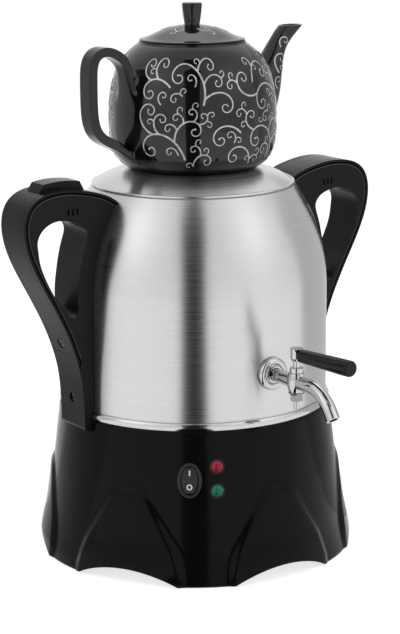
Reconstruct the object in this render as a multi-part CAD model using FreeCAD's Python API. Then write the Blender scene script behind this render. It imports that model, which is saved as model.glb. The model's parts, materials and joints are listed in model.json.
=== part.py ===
import FreeCAD, Part
import math
import os

V = FreeCAD.Vector

# Driving dimensions in millimetres and degrees
# Z is up from the surface it stands on, the tap points to -Y, the handles to -X and +X
# An azimuth is measured from the tap's direction, positive towards +X

# Tank
tank_radius = 102.0
tank_sheet = 0.8
tank_floor_z = 115.4
tank_straight_top = 205.0
tank_rim_radius = 77.2
tank_rim_z = 281.6
tank_mouth_radius = tank_rim_radius - 7.2
tank_bottom_corner = 3.0
tank_bottom_lip = 4.0

# Base
base_top_radius = tank_radius + 2.3
base_wall = 2.5
crown_z = tank_floor_z - 45.4
crown_radius = base_top_radius + 5.4
waist_z = crown_z - 25.0
waist_radius = crown_radius + 2.3
ankle_z = crown_z - 48.0
ankle_radius = crown_radius + 5.5
foot_radius = crown_radius + 11.3
foot_bottom_z = 1.0
petal_count = 6
petal_half_width = 45.5
petal_crown_step = 2.2
petal_toe_radius = foot_radius + 2.0
arch_height = 10.5
arch_half_width = 43.5
flange_hole_radius = tank_radius - 32.0
cover_sheet = 2.5
cover_z = 12.0
cover_gap = 0.4
pad_radius = 7.0
pad_height = 4.0
pad_circle = foot_radius - 16.0
pad_boss_wall = 2.0
boss_radius = 4.5
boss_circle = foot_radius - 33.0
boss_count = 3
pilot_radius = 1.6
pilot_depth = 18.0

# Trim ring between tank and base
ring_height = 5.1
ring_radius = tank_radius + 2.5
fit_gap = 0.15

# Heater and its controls
plate_radius = tank_radius - 40.0
plate_thickness = 4.0
element_circle = plate_radius - 16.0
element_tube = 4.0
element_sweep = 300.0
element_pin_radius = 2.2
element_pin_length = 16.0
stud_circle = tank_radius - 22.0
stud_radius = 2.0
stud_length = 11.0
stud_count = 4
stud_turn = 45.0
nut_across_flats = 7.0
nut_height = 3.2
thermostat_radius = 8.5
thermostat_height = 9.0
thermostat_offset = 26.0
cutout_radius = 3.0
cutout_length = 16.0

# Tank lid
lid_sheet = 0.8
lid_seal_height = 0.6
lid_seat_gap = 0.1
lid_rim_height = 1.8
lid_skirt_gap = 1.5
lid_skirt_depth = 7.0
lid_flat_radius = tank_rim_radius - 27.2
lid_flat_z = tank_rim_z + 12.4
steam_hole_radius = 2.5
steam_hole_circle = 30.0
steam_hole_count = 8
seat_gap = 0.3

# Teapot
teapot_turn = 3.0
pot_foot_radius = lid_flat_radius - 2.0
pot_radius = pot_foot_radius + 15.2
pot_wall = 4.0
pot_mouth_radius = pot_radius - 26.7
pot_rim_z = lid_flat_z + 95.5
pot_rim_radius = pot_mouth_radius + 3.8
pot_foot_recess = 2.0
strap_width = 13.0
strap_thickness = 7.0
strap_reach = pot_radius + 33.8
spout_wall = 3.0
strainer_hole_radius = 1.6
pot_lid_gap = 0.8
pot_lid_wall = 3.0
pot_lid_skirt = 7.0
knob_radius = 7.6
knob_neck_radius = 6.2
knob_top_z = pot_rim_z + 27.9

# Handles
handle_width = 34.0
cover_depth = 3.0
cover_width = 25.0
groove_gap = 0.3
handle_end_z = tank_floor_z - 8.9
handle_drawn_height = 166.2
handle_corner = 4.0
vent_count = 3
vent_pitch = 3.8
vent_width = 1.3
vent_height = 5.0
vent_x = tank_radius + 14.3
vent_z = tank_rim_z - 8.1
handle_screw_radius = 1.75
handle_head_radius = 3.2
handle_head_height = 1.8
handle_head_sink = 1.2
handle_boss_radius = 3.6
low_screw_z = tank_floor_z + 14.8
low_boss_length = 3.0
top_screw_x = (tank_radius + tank_rim_radius) / 2 + 3.4
top_boss_z = tank_rim_z - 13.6
top_boss_length = 28.0
top_seat_rise = 6.0
cover_screw_rise = 57.2
head_gap = 0.5

# Thumb button on the left handle and the switch under it
button_low_x = tank_radius - 0.5
button_high_x = tank_radius + 37.0
button_width = 17.0
button_top_z = tank_rim_z + 14.0
button_low_z = tank_rim_z + 0.2
button_travel = 1.5
button_gap = 0.3
button_stem_radius = 2.5
cavity_x = tank_radius + 18.5
cavity_length = 32.0
cavity_width = 22.0
cavity_height = 20.0
cavity_low_z = tank_rim_z - 10.3
micro_length = 20.0
micro_width = 6.4
micro_height = 7.0
plunger_height = 2.0
plunger_radius = 1.4
plunger_root = 1.2

# Tap
tap_z = tank_floor_z + 38.4
valve_y = -tank_radius - 30.0
valve_radius = 6.9
valve_height = 14.0
tap_bore = 3.5
shank_radius = 6.0
shank_inner_y = -tank_radius + 14.0
flange_radius = 12.2
flange_y = -tank_radius - 1.2
flange_thickness = 3.6
neck_small = 4.4
neck_large = 6.0
spout_radius = 5.2
spout_bend = 32.0
spout_sweep = 55.0
spout_straight = 14.0
spout_end = 6.0
plug_top_radius = 4.4
plug_low_radius = 3.8
running_gap = 0.05
stem_radius = 2.4
collar_radius = 5.0
head_radius = 4.9
head_z = tap_z + 15.8
head_height = 9.2
tail_radius = 2.1
tail_end_z = tap_z - 20.2
tap_nut_flats = 8.6
tap_nut_height = 4.6
grip_start_y = valve_y - 6.0
pin_reach = 20.0
grip_length = 57.0
grip_small = 5.0
grip_large = 5.9
lever_pin = 1.8
lever_tilt = 2.4
lock_nut_flats = 19.0
lock_nut_height = 5.0
lock_washer = 1.2
spring_height = 1.8

# Controls on the base
switch_azimuth = -36.0
switch_z = tank_floor_z - 35.8
bezel_half_width = 9.2
bezel_half_height = 13.0
bezel_lip = 2.4
rocker_half_width = 5.9
rocker_half_height = 10.3
rocker_gap = 0.7
rocker_tilt = 7.0
rocker_pin_radius = 1.2
switch_depth = 15.0
lamp_azimuth = -25.4
red_lamp_z = tank_floor_z - 26.0
green_lamp_z = tank_floor_z - 43.8
lamp_bezel_radius = 6.0
lamp_lens_radius = 4.5
lamp_barrel_radius = 5.0
lamp_depth = 12.0
lamp_lip = 1.6
lens_root = 4.0
lens_crown = 2.2

# Mains inlet on the back of the base
inlet_azimuth = 180.0
inlet_z = tank_floor_z - 23.4
inlet_width = 27.0
inlet_height = 19.8
inlet_flange = 2.4
inlet_flange_lip = 2.0
inlet_wall = 1.6
inlet_depth = 18.0
inlet_pin_gap = 6.5
inlet_pin_tail = 6.0

os.makedirs("parts", exist_ok=True)


def save(node, shape):
    """Write one node"""
    shape.exportStep("parts/" + node + ".step")


def group(shapes):
    """Separate solids kept as one node"""
    return Part.makeCompound(shapes)


def lathe(edges):
    """Turn a closed profile in the XZ plane about the Z axis"""
    face = Part.Face(Part.Wire(edges))
    return face.revolve(V(0, 0, 0), V(0, 0, 1), 360)


def line(a, b):
    """Straight edge between two (radius, height) points"""
    return Part.LineSegment(V(a[0], 0, a[1]), V(b[0], 0, b[1])).toShape()


def arc(a, b, c):
    """Arc through three (radius, height) points"""
    return Part.Arc(V(a[0], 0, a[1]), V(b[0], 0, b[1]), V(c[0], 0, c[1])).toShape()


def curve(points):
    """Smooth edge through (radius, height) points"""
    spline = Part.BSplineCurve()
    spline.interpolate([V(p[0], 0, p[1]) for p in points])
    return spline.toShape()


def polygon(points):
    """Closed set of straight edges through (radius, height) points"""
    return [line(points[i], points[(i + 1) % len(points)]) for i in range(len(points))]


def slab(edges, width):
    """Extrude a closed outline evenly to both sides of the XZ plane"""
    face = Part.Face(Part.Wire(Part.sortEdges(edges)[0]))
    solid = face.extrude(V(0, width, 0))
    solid.translate(V(0, -width / 2, 0))
    return solid


def rod(radius, start, end):
    """Round bar from one point to another"""
    return Part.makeCylinder(radius, (end - start).Length, start, end - start)


def cone(radius_a, radius_b, start, end):
    """Tapered round bar"""
    return Part.makeCone(radius_a, radius_b, (end - start).Length, start, end - start)


def ring(outer, inner, low, high):
    """Flat ring about the Z axis"""
    body = Part.makeCylinder(outer, high - low, V(0, 0, low))
    return body.cut(Part.makeCylinder(inner, high - low, V(0, 0, low)))


def around(azimuth, radius, z):
    """Point at an azimuth from the tap's direction"""
    angle = math.radians(azimuth)
    return V(radius * math.sin(angle), -radius * math.cos(angle), z)


def hexagon(flats, height, base, direction):
    """Hexagonal bar that stands on a point"""
    corner = flats / math.sqrt(3)
    points = [V(corner * math.cos(math.radians(60 * i)), corner * math.sin(math.radians(60 * i)), 0)
              for i in range(7)]
    bar = Part.Face(Part.makePolygon(points)).extrude(V(0, 0, height))
    bar.Placement = FreeCAD.Placement(base, FreeCAD.Rotation(V(0, 0, 1), direction))
    return bar


def ellipse_bar(half_width, half_height, low, high):
    """Oval bar along local Z, taller along local Y"""
    if half_width > half_height:
        oval = Part.Ellipse(V(half_width, 0, low), V(0, half_height, low), V(0, 0, low))
    else:
        oval = Part.Ellipse(V(0, half_height, low), V(-half_width, 0, low), V(0, 0, low))
    return Part.Face(Part.Wire(oval.toShape())).extrude(V(0, 0, high - low))


def box(width, depth, height, centre, low):
    """Upright block centred on a point in plan"""
    corner = V(centre[0] - width / 2, centre[1] - depth / 2, low)
    return Part.makeBox(width, depth, height, corner)


# Tank, its rim and what stands on the base with it

shoulder_rise = tank_rim_z - tank_straight_top
shoulder_drop = tank_radius - tank_rim_radius
shoulder_radius = (shoulder_rise ** 2 + shoulder_drop ** 2) / (2 * shoulder_drop)


def tank_outline(inset, bottom, mouth):
    """Turned solid of the tank, inset evenly from its outer face"""
    side = tank_radius - inset
    bend = shoulder_radius - inset
    centre = tank_radius - shoulder_radius
    top_rise = shoulder_rise - inset
    top = (centre + math.sqrt(bend ** 2 - top_rise ** 2), tank_straight_top + top_rise)
    half_angle = math.asin(top_rise / bend) / 2
    middle = (centre + bend * math.cos(half_angle), tank_straight_top + bend * math.sin(half_angle))
    corner = tank_bottom_corner - min(inset, tank_bottom_corner / 2)
    near = corner * (1 - math.sqrt(0.5))
    edges = [line((0, bottom), (side - corner, bottom)),
             arc((side - corner, bottom), (side - near, bottom + near), (side, bottom + corner)),
             line((side, bottom + corner), (side, tank_straight_top)),
             arc((side, tank_straight_top), middle, top)]
    end = top
    if mouth:
        edges.append(line(top, (mouth, top[1])))
        end = (mouth, tank_rim_z + 1)
        edges.append(line((mouth, top[1]), end))
    edges.append(line(end, (0, end[1])))
    edges.append(line((0, end[1]), (0, bottom)))
    return lathe(edges)


def make_tank():
    """Drawn shell with a lip at the bottom, a rolled-in rim and a hole for the tap"""
    shell = tank_outline(0, tank_floor_z, 0)
    shell = shell.cut(tank_outline(tank_sheet, tank_floor_z + tank_sheet, tank_mouth_radius))
    shell = shell.cut(floor_disc())
    hole = rod(shank_radius + fit_gap, V(0, 0, tap_z), V(0, -tank_radius - 5, tap_z))
    return shell.cut(hole)


def floor_disc():
    """Round floor, welded in the lip at the bottom of the shell"""
    return Part.makeCylinder(tank_radius - tank_bottom_lip, tank_sheet, V(0, 0, tank_floor_z))


def make_ring():
    """Bright bead that covers the joint of tank and base"""
    inner = tank_radius + fit_gap
    low = tank_floor_z
    high = low + ring_height
    round_off = 1.2
    return lathe([line((inner, low), (ring_radius - round_off / 2, low)),
                  arc((ring_radius - round_off / 2, low), (ring_radius, low + ring_height / 2),
                      (ring_radius - round_off, high)),
                  line((ring_radius - round_off, high), (inner, high)),
                  line((inner, high), (inner, low))])


# Base: a flared housing with six raised petals and six feet

def base_solid(inset):
    """Closed outer form of the base, inset evenly for its inner face"""
    top = tank_floor_z - inset
    side = [(base_top_radius - inset, top), (crown_radius - inset, crown_z),
            (waist_radius - inset, waist_z), (ankle_radius - inset, ankle_z),
            (foot_radius - inset, foot_bottom_z)]
    body = lathe([line((0, top), side[0]), line(side[0], side[1]), curve(side[1:]),
                  line(side[-1], (0, foot_bottom_z)), line((0, foot_bottom_z), (0, top))])
    for i in range(petal_count):
        body = body.fuse(petal(inset, i * 360.0 / petal_count))
    return body


def petal_outline(inset):
    """Bell outline of a petal, as (half width, height) points on one side"""
    wide = petal_half_width - inset
    return [(0, crown_z + 0.5 - inset), (wide - 32.5, crown_z - 4.5 - inset), (wide - 24.5, crown_z - 16),
            (wide - 15.5, crown_z - 30), (wide - 6, crown_z - 45), (wide - 0.5, foot_bottom_z + 8),
            (wide, foot_bottom_z)]


def petal(inset, azimuth):
    """Raised flared panel with a bell outline"""
    step = crown_radius + petal_crown_step - inset
    toe = petal_toe_radius - inset
    side = [(step, crown_z + 2), (step + 1.5, crown_z - 12), (step + 4.2, crown_z - 32),
            (step + 8.2, crown_z - 52), (toe, foot_bottom_z)]
    core = crown_radius - 12
    flare = lathe([line((core, crown_z + 2), side[0]), curve(side), line(side[-1], (core, foot_bottom_z)),
                   line((core, foot_bottom_z), (core, crown_z + 2))])
    half = petal_outline(inset)
    points = [V(-x, 0, z) for x, z in reversed(half)] + [V(x, 0, z) for x, z in half[1:]]
    bell = Part.BSplineCurve()
    bell.interpolate(points)
    closing = Part.LineSegment(points[-1], points[0]).toShape()
    face = Part.Face(Part.Wire([bell.toShape(), closing]))
    wedge = face.extrude(V(0, -petal_toe_radius - 10, 0))
    panel = flare.common(wedge)
    panel.rotate(V(0, 0, 0), V(0, 0, 1), azimuth)
    return panel


def arch_cuts():
    """Low arches between the feet, one under each petal"""
    cuts = []
    for i in range(petal_count):
        low = foot_bottom_z - 1
        edges = [arc((-arch_half_width, low), (0, foot_bottom_z + arch_height), (arch_half_width, low)),
                 line((arch_half_width, low), (-arch_half_width, low))]
        cut = Part.Face(Part.Wire(edges)).extrude(V(0, -petal_toe_radius - 10, 0))
        cut.rotate(V(0, 0, 0), V(0, 0, 1), i * 360.0 / petal_count)
        cuts.append(cut)
    return cuts


def wall_radius(z):
    """Outer radius of the base's plain upper wall at a height"""
    share = (tank_floor_z - z) / (tank_floor_z - crown_z)
    return base_top_radius + (crown_radius - base_top_radius) * share


def wall_place(azimuth, z):
    """Local frame on the upper wall: X along it, Y up it, Z outward"""
    lean = math.atan((crown_radius - base_top_radius) / (tank_floor_z - crown_z))
    out = around(azimuth, math.cos(lean), math.sin(lean))
    across = around(azimuth + 90, 1, 0)
    up = out.cross(across)
    matrix = FreeCAD.Matrix(across.x, up.x, out.x, 0, across.y, up.y, out.y, 0,
                            across.z, up.z, out.z, 0, 0, 0, 0, 1)
    place = FreeCAD.Placement(matrix)
    place.Base = around(azimuth, wall_radius(z), z)
    return place


def on_wall(shape, azimuth, z):
    """Carry a shape from local coordinates to the wall"""
    moved = shape.copy()
    moved.Placement = wall_place(azimuth, z).multiply(shape.Placement)
    return moved


def lamp_places():
    """Azimuth and height of the two indicators"""
    return [(lamp_azimuth, red_lamp_z), (lamp_azimuth, green_lamp_z)]


def boss_points(z):
    """Points of the screw bosses at a height"""
    return [around(i * 360.0 / boss_count, boss_circle, z) for i in range(boss_count)]


def make_base():
    """Moulded housing with a top flange, bosses and holes for the controls"""
    shell = base_solid(0).cut(base_solid(base_wall))
    skirt = Part.makeCylinder(foot_radius + 10, base_wall, V(0, 0, foot_bottom_z - 0.01))
    shell = shell.cut(skirt.common(base_solid(base_wall)))
    for cut in arch_cuts():
        shell = shell.cut(cut)
    flange_low = tank_floor_z - base_wall
    for point in boss_points(cover_z + cover_sheet):
        column = Part.makeCylinder(boss_radius, flange_low - point.z + 0.5, point)
        pilot = Part.makeCylinder(pilot_radius, pilot_depth, point)
        shell = shell.fuse(column).cut(pilot)
    shell = shell.cut(Part.makeCylinder(flange_hole_radius, 10, V(0, 0, flange_low - 5)))
    for i in range(stud_count):
        point = around(stud_turn + i * 360.0 / stud_count, stud_circle, flange_low - 5)
        shell = shell.cut(Part.makeCylinder(stud_radius + 0.3, 10, point))
    reach = base_wall * 3
    oval = ellipse_bar(bezel_half_width - 1.0, bezel_half_height - 1.4, -reach, reach)
    shell = shell.cut(on_wall(oval, switch_azimuth, switch_z))
    for azimuth, z in lamp_places():
        hole = Part.makeCylinder(lamp_barrel_radius + fit_gap, 2 * reach, V(0, 0, -reach))
        shell = shell.cut(on_wall(hole, azimuth, z))
    socket = box(inlet_width + 2 * fit_gap, inlet_height + 2 * fit_gap, 2 * reach, (0, 0), -reach)
    return shell.cut(on_wall(socket, inlet_azimuth, inlet_z))


def foot_points(z):
    """Points above the six feet at a height"""
    turn = 360.0 / petal_count
    return [around(turn / 2 + i * turn, pad_circle, z) for i in range(petal_count)]


def make_base_cover():
    """Bottom plate with a hollow boss over each rubber foot"""
    slab = Part.makeCylinder(foot_radius + 10, cover_sheet, V(0, 0, cover_z))
    plate = slab.common(base_solid(base_wall + cover_gap))
    for point in foot_points(foot_bottom_z + 0.4):
        outer = pad_radius + fit_gap + pad_boss_wall
        plate = plate.fuse(Part.makeCylinder(outer, cover_z - point.z + 0.5, point))
    for point in foot_points(foot_bottom_z):
        plate = plate.cut(Part.makeCylinder(pad_radius + fit_gap, pad_height - foot_bottom_z, point))
    for point in boss_points(cover_z - 1):
        plate = plate.cut(Part.makeCylinder(2.2, cover_sheet + 2, point))
    return plate


def make_foot_pads():
    """Rubber pads that carry the whole weight"""
    return group([Part.makeCylinder(pad_radius, pad_height, point) for point in foot_points(0)])


def pan_screw(pan_radius, pan_height, thread_radius, thread_length, base, direction):
    """Pan-head screw with a cross slot, its head resting on the base point"""
    axis = V(0, 0, 1)
    screw = Part.makeCylinder(pan_radius, pan_height, V(0, 0, -pan_height))
    screw = screw.fuse(Part.makeCylinder(thread_radius, thread_length, V(0, 0, 0)))
    slot = pan_radius * 1.1
    depth = pan_height * 0.5
    for size in ((slot, 0.8), (0.8, slot)):
        screw = screw.cut(box(size[0], size[1], depth, (0, 0), -pan_height))
    screw.Placement = FreeCAD.Placement(base, FreeCAD.Rotation(axis, direction))
    return screw


def make_cover_screws():
    """Screws that hold the bottom plate to the bosses"""
    return group([pan_screw(3.6, 2.4, 1.55, 16.0, point, V(0, 0, 1)) for point in boss_points(cover_z)])


# Heater under the tank floor

def make_studs():
    """Studs welded under the tank floor"""
    turns = [stud_turn + i * 360.0 / stud_count for i in range(stud_count)]
    points = [around(turn, stud_circle, tank_floor_z) for turn in turns]
    return group([rod(stud_radius, p - V(0, 0, stud_length), p) for p in points])


def make_stud_nuts():
    """Nuts that clamp the base's flange to the tank"""
    nuts = []
    for i in range(stud_count):
        top = tank_floor_z - base_wall
        point = around(stud_turn + i * 360.0 / stud_count, stud_circle, top - nut_height)
        nut = hexagon(nut_across_flats, nut_height, point, V(0, 0, 1))
        nuts.append(nut.cut(Part.makeCylinder(stud_radius, nut_height, point)))
    return group(nuts)


plate_low = tank_floor_z - plate_thickness


def make_heating_plate():
    """Aluminium disc fixed to the tank floor"""
    return Part.makeCylinder(plate_radius, plate_thickness, V(0, 0, plate_low))


def make_element():
    """Sheathed element bent in an open ring with two cold pins"""
    centre_z = plate_low - element_tube
    section = Part.Circle(V(0, -element_circle, centre_z), V(1, 0, 0), element_tube).toShape()
    tube = Part.Face(Part.Wire(section)).revolve(V(0, 0, 0), V(0, 0, 1), element_sweep)
    for angle in (1.5, element_sweep - 1.5):
        top = around(angle, element_circle, centre_z)
        tube = tube.fuse(rod(element_pin_radius, top - V(0, 0, element_pin_length), top))
    return tube


def make_thermostat(x):
    """Disc thermostat pressed to the plate, with two tabs"""
    low = plate_low - thermostat_height
    body = Part.makeCylinder(thermostat_radius, thermostat_height, V(x, 0, low))
    for side in (-1, 1):
        body = body.fuse(box(0.8, 6.3, 8, (x + side * thermostat_radius * 0.6, 0), low - 7.5))
    return body


def make_cutout():
    """Thermal cut-out lying in a clip under the plate"""
    z = plate_low - cutout_radius
    y = thermostat_offset
    return rod(cutout_radius, V(-cutout_length / 2, y, z), V(cutout_length / 2, y, z))


def make_terminal_block():
    """Block on the bottom plate where the leads meet"""
    low = cover_z + cover_sheet
    block = box(34, 14, 12, (0, 58), low)
    for i in range(3):
        block = block.cut(Part.makeCylinder(2.0, 9, V((i - 1) * 11, 58, low + 4)))
    return block


# Tank lid

rim_low = tank_rim_z + lid_seat_gap + lid_seal_height
rim_high = rim_low + lid_rim_height


def lid_profile(inset):
    """Upper or lower face of the lid as points and an edge from the rim to the flat"""
    z = rim_high - inset
    knee = tank_rim_radius - 1.7 - inset
    dome = [(knee, z), (knee - 9.5, z + 5.2), (lid_flat_radius + 6, lid_flat_z - inset - 1.2),
            (lid_flat_radius, lid_flat_z - inset)]
    return dome, curve(dome)


def make_tank_lid():
    """Domed lid with a polished rim, a locating skirt and steam holes under the pot"""
    upper, upper_edge = lid_profile(0)
    lower, lower_edge = lid_profile(lid_sheet)
    edge = tank_rim_radius - lid_rim_height / 2
    inner_flat = (0, lid_flat_z - lid_sheet)
    shell = lathe([line((0, lid_flat_z), upper[-1]), upper_edge, line(upper[0], (edge, rim_high)),
                   arc((edge, rim_high), (tank_rim_radius, (rim_low + rim_high) / 2), (edge, rim_low)),
                   line((edge, rim_low), (lower[0][0], rim_low)), line((lower[0][0], rim_low), lower[0]),
                   lower_edge, line(lower[-1], inner_flat), line(inner_flat, (0, lid_flat_z))])
    skirt_out = tank_mouth_radius - lid_skirt_gap
    skirt_low = tank_rim_z - lid_skirt_depth
    skirt = ring(skirt_out, skirt_out - lid_sheet, skirt_low, rim_high + 3.2)
    side = [(0, skirt_low), (tank_rim_radius, skirt_low), (tank_rim_radius, rim_low), upper[0]]
    dome_room = lathe([line(side[i], side[i + 1]) for i in range(len(side) - 1)]
                      + [upper_edge, line(upper[-1], (0, lid_flat_z)), line((0, lid_flat_z), side[0])])
    lid = shell.fuse(skirt.common(dome_room))
    for i in range(steam_hole_count):
        point = around(i * 360.0 / steam_hole_count, steam_hole_circle, lid_flat_z - 3)
        lid = lid.cut(Part.makeCylinder(steam_hole_radius, 6, point))
    return lid


def make_lid_seal():
    """Flat silicone ring under the lid's edge"""
    low = tank_rim_z + lid_seat_gap
    return ring(tank_rim_radius - 1.2, tank_mouth_radius + 0.8, low, low + lid_seal_height)


# Teapot

pot_low = lid_flat_z + seat_gap


def pot_side(inset):
    """Side of the pot from foot to shoulder, as (radius, height) points"""
    r = pot_radius - inset
    low = pot_low + inset
    return [(pot_foot_radius - inset, low), (r - 8.8, pot_low + 4.1 + inset * 0.7),
            (r - 2.8, pot_low + 13.0 + inset * 0.3), (r, pot_low + 32.0), (r - 0.7, pot_low + 50.0),
            (r - 4.7, pot_low + 71.0),
            (r - 13.0 + inset * 0.1, pot_low + 85.5 - inset * 0.5),
            (pot_rim_radius, pot_rim_z - 1.5 - inset)]


def pot_body():
    """Outer and inner solids of the turned pot"""
    side = pot_side(0)
    outer = lathe([line((0, pot_low), side[0]), curve(side), line(side[-1], (pot_rim_radius, pot_rim_z)),
                   line((pot_rim_radius, pot_rim_z), (0, pot_rim_z)), line((0, pot_rim_z), (0, pot_low))])
    hollow = pot_side(pot_wall)
    neck = (pot_mouth_radius, hollow[-1][1] + 0.5)
    inner = lathe([line((0, hollow[0][1]), hollow[0]), curve(hollow[:-1]), line(hollow[-2], neck),
                   line(neck, (pot_mouth_radius, pot_rim_z + 5)),
                   line((pot_mouth_radius, pot_rim_z + 5), (0, pot_rim_z + 5)),
                   line((0, pot_rim_z + 5), (0, hollow[0][1]))])
    foot = Part.makeCylinder(pot_foot_radius - 6, pot_foot_recess, V(0, 0, pot_low))
    return outer, inner, foot


def spout_sections(inset):
    """Oval sections of the spout from the wall of the pot to its tip"""
    stations = [(-17.2, 42.0, 20.0, 22.5, 15.0), (2.8, 51.5, 27.0, 20.0, 13.5),
                (10.3, 63.2, 30.0, 15.4, 12.0), (13.8, 74.5, 34.4, 10.6, 10.0),
                (17.6, 84.2, 40.8, 7.8, 7.5), (22.8, 92.5, 45.0, 6.9, 6.7),
                (32.0, 101.3, 50.0, 8.0, 7.5), (38.0, 107.5, 50.0, 8.6, 7.6)]
    wires = []
    for reach, height, angle, tall, wide in stations:
        a = math.radians(angle)
        out = V(math.cos(a), 0, math.sin(a))
        side = V(0, 1, 0)
        up = side.cross(out) * -1
        centre = V(pot_radius + reach, 0, pot_low + height)
        tall_in = tall - inset
        wide_in = wide - inset
        oval = Part.Ellipse(centre + up * tall_in, centre + side * wide_in, centre)
        wires.append(Part.Wire(oval.toShape()))
    return wires


def strap_path():
    """Handle path from the upper root to the lower root, as (reach, height) points"""
    outer = strap_reach - strap_thickness / 2
    return [(pot_radius - 13.2, pot_low + 70.0), (pot_radius - 0.2, pot_low + 81.5),
            (pot_radius + 12.8, pot_low + 91.5), (pot_radius + 23.8, pot_low + 90.0),
            (outer, pot_low + 76.0), (outer, pot_low + 50.0), (outer - 2.4, pot_low + 34.0),
            (pot_radius + 19.8, pot_low + 24.5), (pot_radius + 6.8, pot_low + 19.5),
            (pot_radius - 9.2, pot_low + 13.0)]


def make_strap():
    """Flat strap handle swept along its path"""
    path = strap_path()
    outer = offset_points(path, strap_thickness / 2)
    inner = offset_points(path, -strap_thickness / 2)
    edges = [curve(outer), line(outer[-1], inner[-1]), curve(inner), line(inner[0], outer[0])]
    return slab(edges, strap_width)


def offset_points(points, distance):
    """Points moved sideways off a smooth curve through them"""
    spline = Part.BSplineCurve()
    spline.interpolate([V(p[0], 0, p[1]) for p in points])
    moved = []
    for p in points:
        tangent = spline.tangent(spline.parameter(V(p[0], 0, p[1])))[0]
        moved.append((p[0] - tangent.z * distance, p[1] + tangent.x * distance))
    return moved


def make_teapot():
    """Glazed pot with its spout, strainer and handle in one piece"""
    outer, inner, foot = pot_body()
    spout = Part.makeLoft(spout_sections(0), True)
    bore = Part.makeLoft(spout_sections(spout_wall), True)
    level = box(80, 60, 60, (pot_radius + 36.8, 0), pot_low + 101.5)
    spout = spout.cut(level)
    strap = make_strap()
    strap.rotate(V(0, 0, 0), V(0, 0, 1), 180)
    pot = outer.fuse([spout, strap]).cut(inner).cut(foot)
    pot = pot.cut(bore.cut(outer))
    for row in range(3):
        for column in range(3):
            z = pot_low + 40 + row * 8
            y = (column - 1) * 7
            hole = rod(strainer_hole_radius, V(pot_radius - 23.2, y, z), V(pot_radius + 2.8, y, z))
            pot = pot.cut(hole)
    pot.rotate(V(0, 0, 0), V(0, 0, 1), teapot_turn)
    return pot


def make_teapot_lid():
    """Domed lid with a skirt inside the mouth and a flared knob"""
    seat = pot_rim_z + seat_gap
    edge = pot_rim_radius - 0.6
    skirt = pot_mouth_radius - pot_lid_gap
    skirt_low = seat - pot_lid_skirt
    skirt_in = skirt - pot_lid_wall
    dome_z = seat + 6.8
    waist = seat + 13.7
    dome = [(edge, seat + 1.6), (edge - 12, seat + 4.6), (16, dome_z), (knob_neck_radius, seat + 8.2)]
    crown = knob_radius - 1.2
    inner = [dome[0], (edge, seat), (skirt, seat), (skirt, skirt_low), (skirt_in, skirt_low),
             (skirt_in, seat), (16, dome_z - pot_lid_wall), (0, dome_z - pot_lid_wall), (0, knob_top_z)]
    knob = [line((0, knob_top_z), (crown, knob_top_z)),
            arc((crown, knob_top_z), (knob_radius - 0.3, knob_top_z - 0.4), (knob_radius, knob_top_z - 1.5)),
            line((knob_radius, knob_top_z - 1.5), (knob_radius - 0.8, waist)),
            line((knob_radius - 0.8, waist), (knob_neck_radius, waist - 0.8)),
            line((knob_neck_radius, waist - 0.8), dome[-1]), curve(list(reversed(dome)))]
    return lathe(knob + [line(inner[i], inner[i + 1]) for i in range(len(inner) - 1)])


# Handles, drawn for +X and mirrored for -X

crest = tank_rim_z + 8.2
handle_stretch = (tank_rim_z - tank_floor_z) / handle_drawn_height
cover_screw_z = tank_floor_z + cover_screw_rise * handle_stretch
outer_offsets = [(-26.0, 160.1), (-15.6, 167.0), (-0.4, 171.8), (15.5, 174.4), (31.2, 173.8),
                 (42.4, 170.6), (50.4, 164.0), (54.4, 154.0), (54.4, 141.0), (49.2, 122.9),
                 (42.6, 109.0), (31.8, 89.1), (24.4, 74.6), (19.2, 63.1), (14.4, 50.1), (10.2, 34.4),
                 (8.4, 20.3), (7.7, 6.4), (7.5, -3.4)]
window_offsets = [(44.0, 135.8), (42.6, 143.2), (37.6, 148.8), (28.5, 152.5), (16.0, 151.4), (5.8, 146.8),
                  (2.6, 141.6), (4.3, 132.5), (9.8, 109.0), (11.4, 89.6), (12.6, 81.2), (15.6, 79.0),
                  (19.6, 82.4), (31.0, 97.8), (37.4, 110.0), (42.4, 123.6)]


def beside_tank(offsets):
    """Points of the handle from their distance to the tank's side and their height above its floor"""
    return [(tank_radius + out, tank_floor_z + rise * handle_stretch) for out, rise in offsets]


outer_points = beside_tank(outer_offsets)
window_points = beside_tank(window_offsets)
cover_start = 1
cover_end = 14


def spline_of(points):
    """Smooth curve through (reach, height) points"""
    spline = Part.BSplineCurve()
    spline.interpolate([V(p[0], 0, p[1]) for p in points])
    return spline


def handle_body():
    """Whole outer form of a handle with its window, reaching into the tank"""
    end = outer_points[-1]
    foot = (end[0] - handle_corner, handle_end_z)
    tip = (end[0] - handle_corner * 0.3, handle_end_z + handle_corner * 0.35)
    within = tank_radius - 10.0
    inside = [foot, (within, handle_end_z), (within, tank_straight_top + 10.0),
              (tank_radius - 36.0, tank_rim_z - 13.6), outer_points[0]]
    edges = [spline_of(outer_points).toShape(), arc(end, tip, foot)]
    edges += [line(inside[i], inside[i + 1]) for i in range(len(inside) - 1)]
    body = slab(edges, handle_width)
    window = Part.BSplineCurve()
    window.interpolate([V(p[0], 0, p[1]) for p in window_points], PeriodicFlag=True)
    return body.cut(slab([window.toShape()], handle_width + 2))


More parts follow.
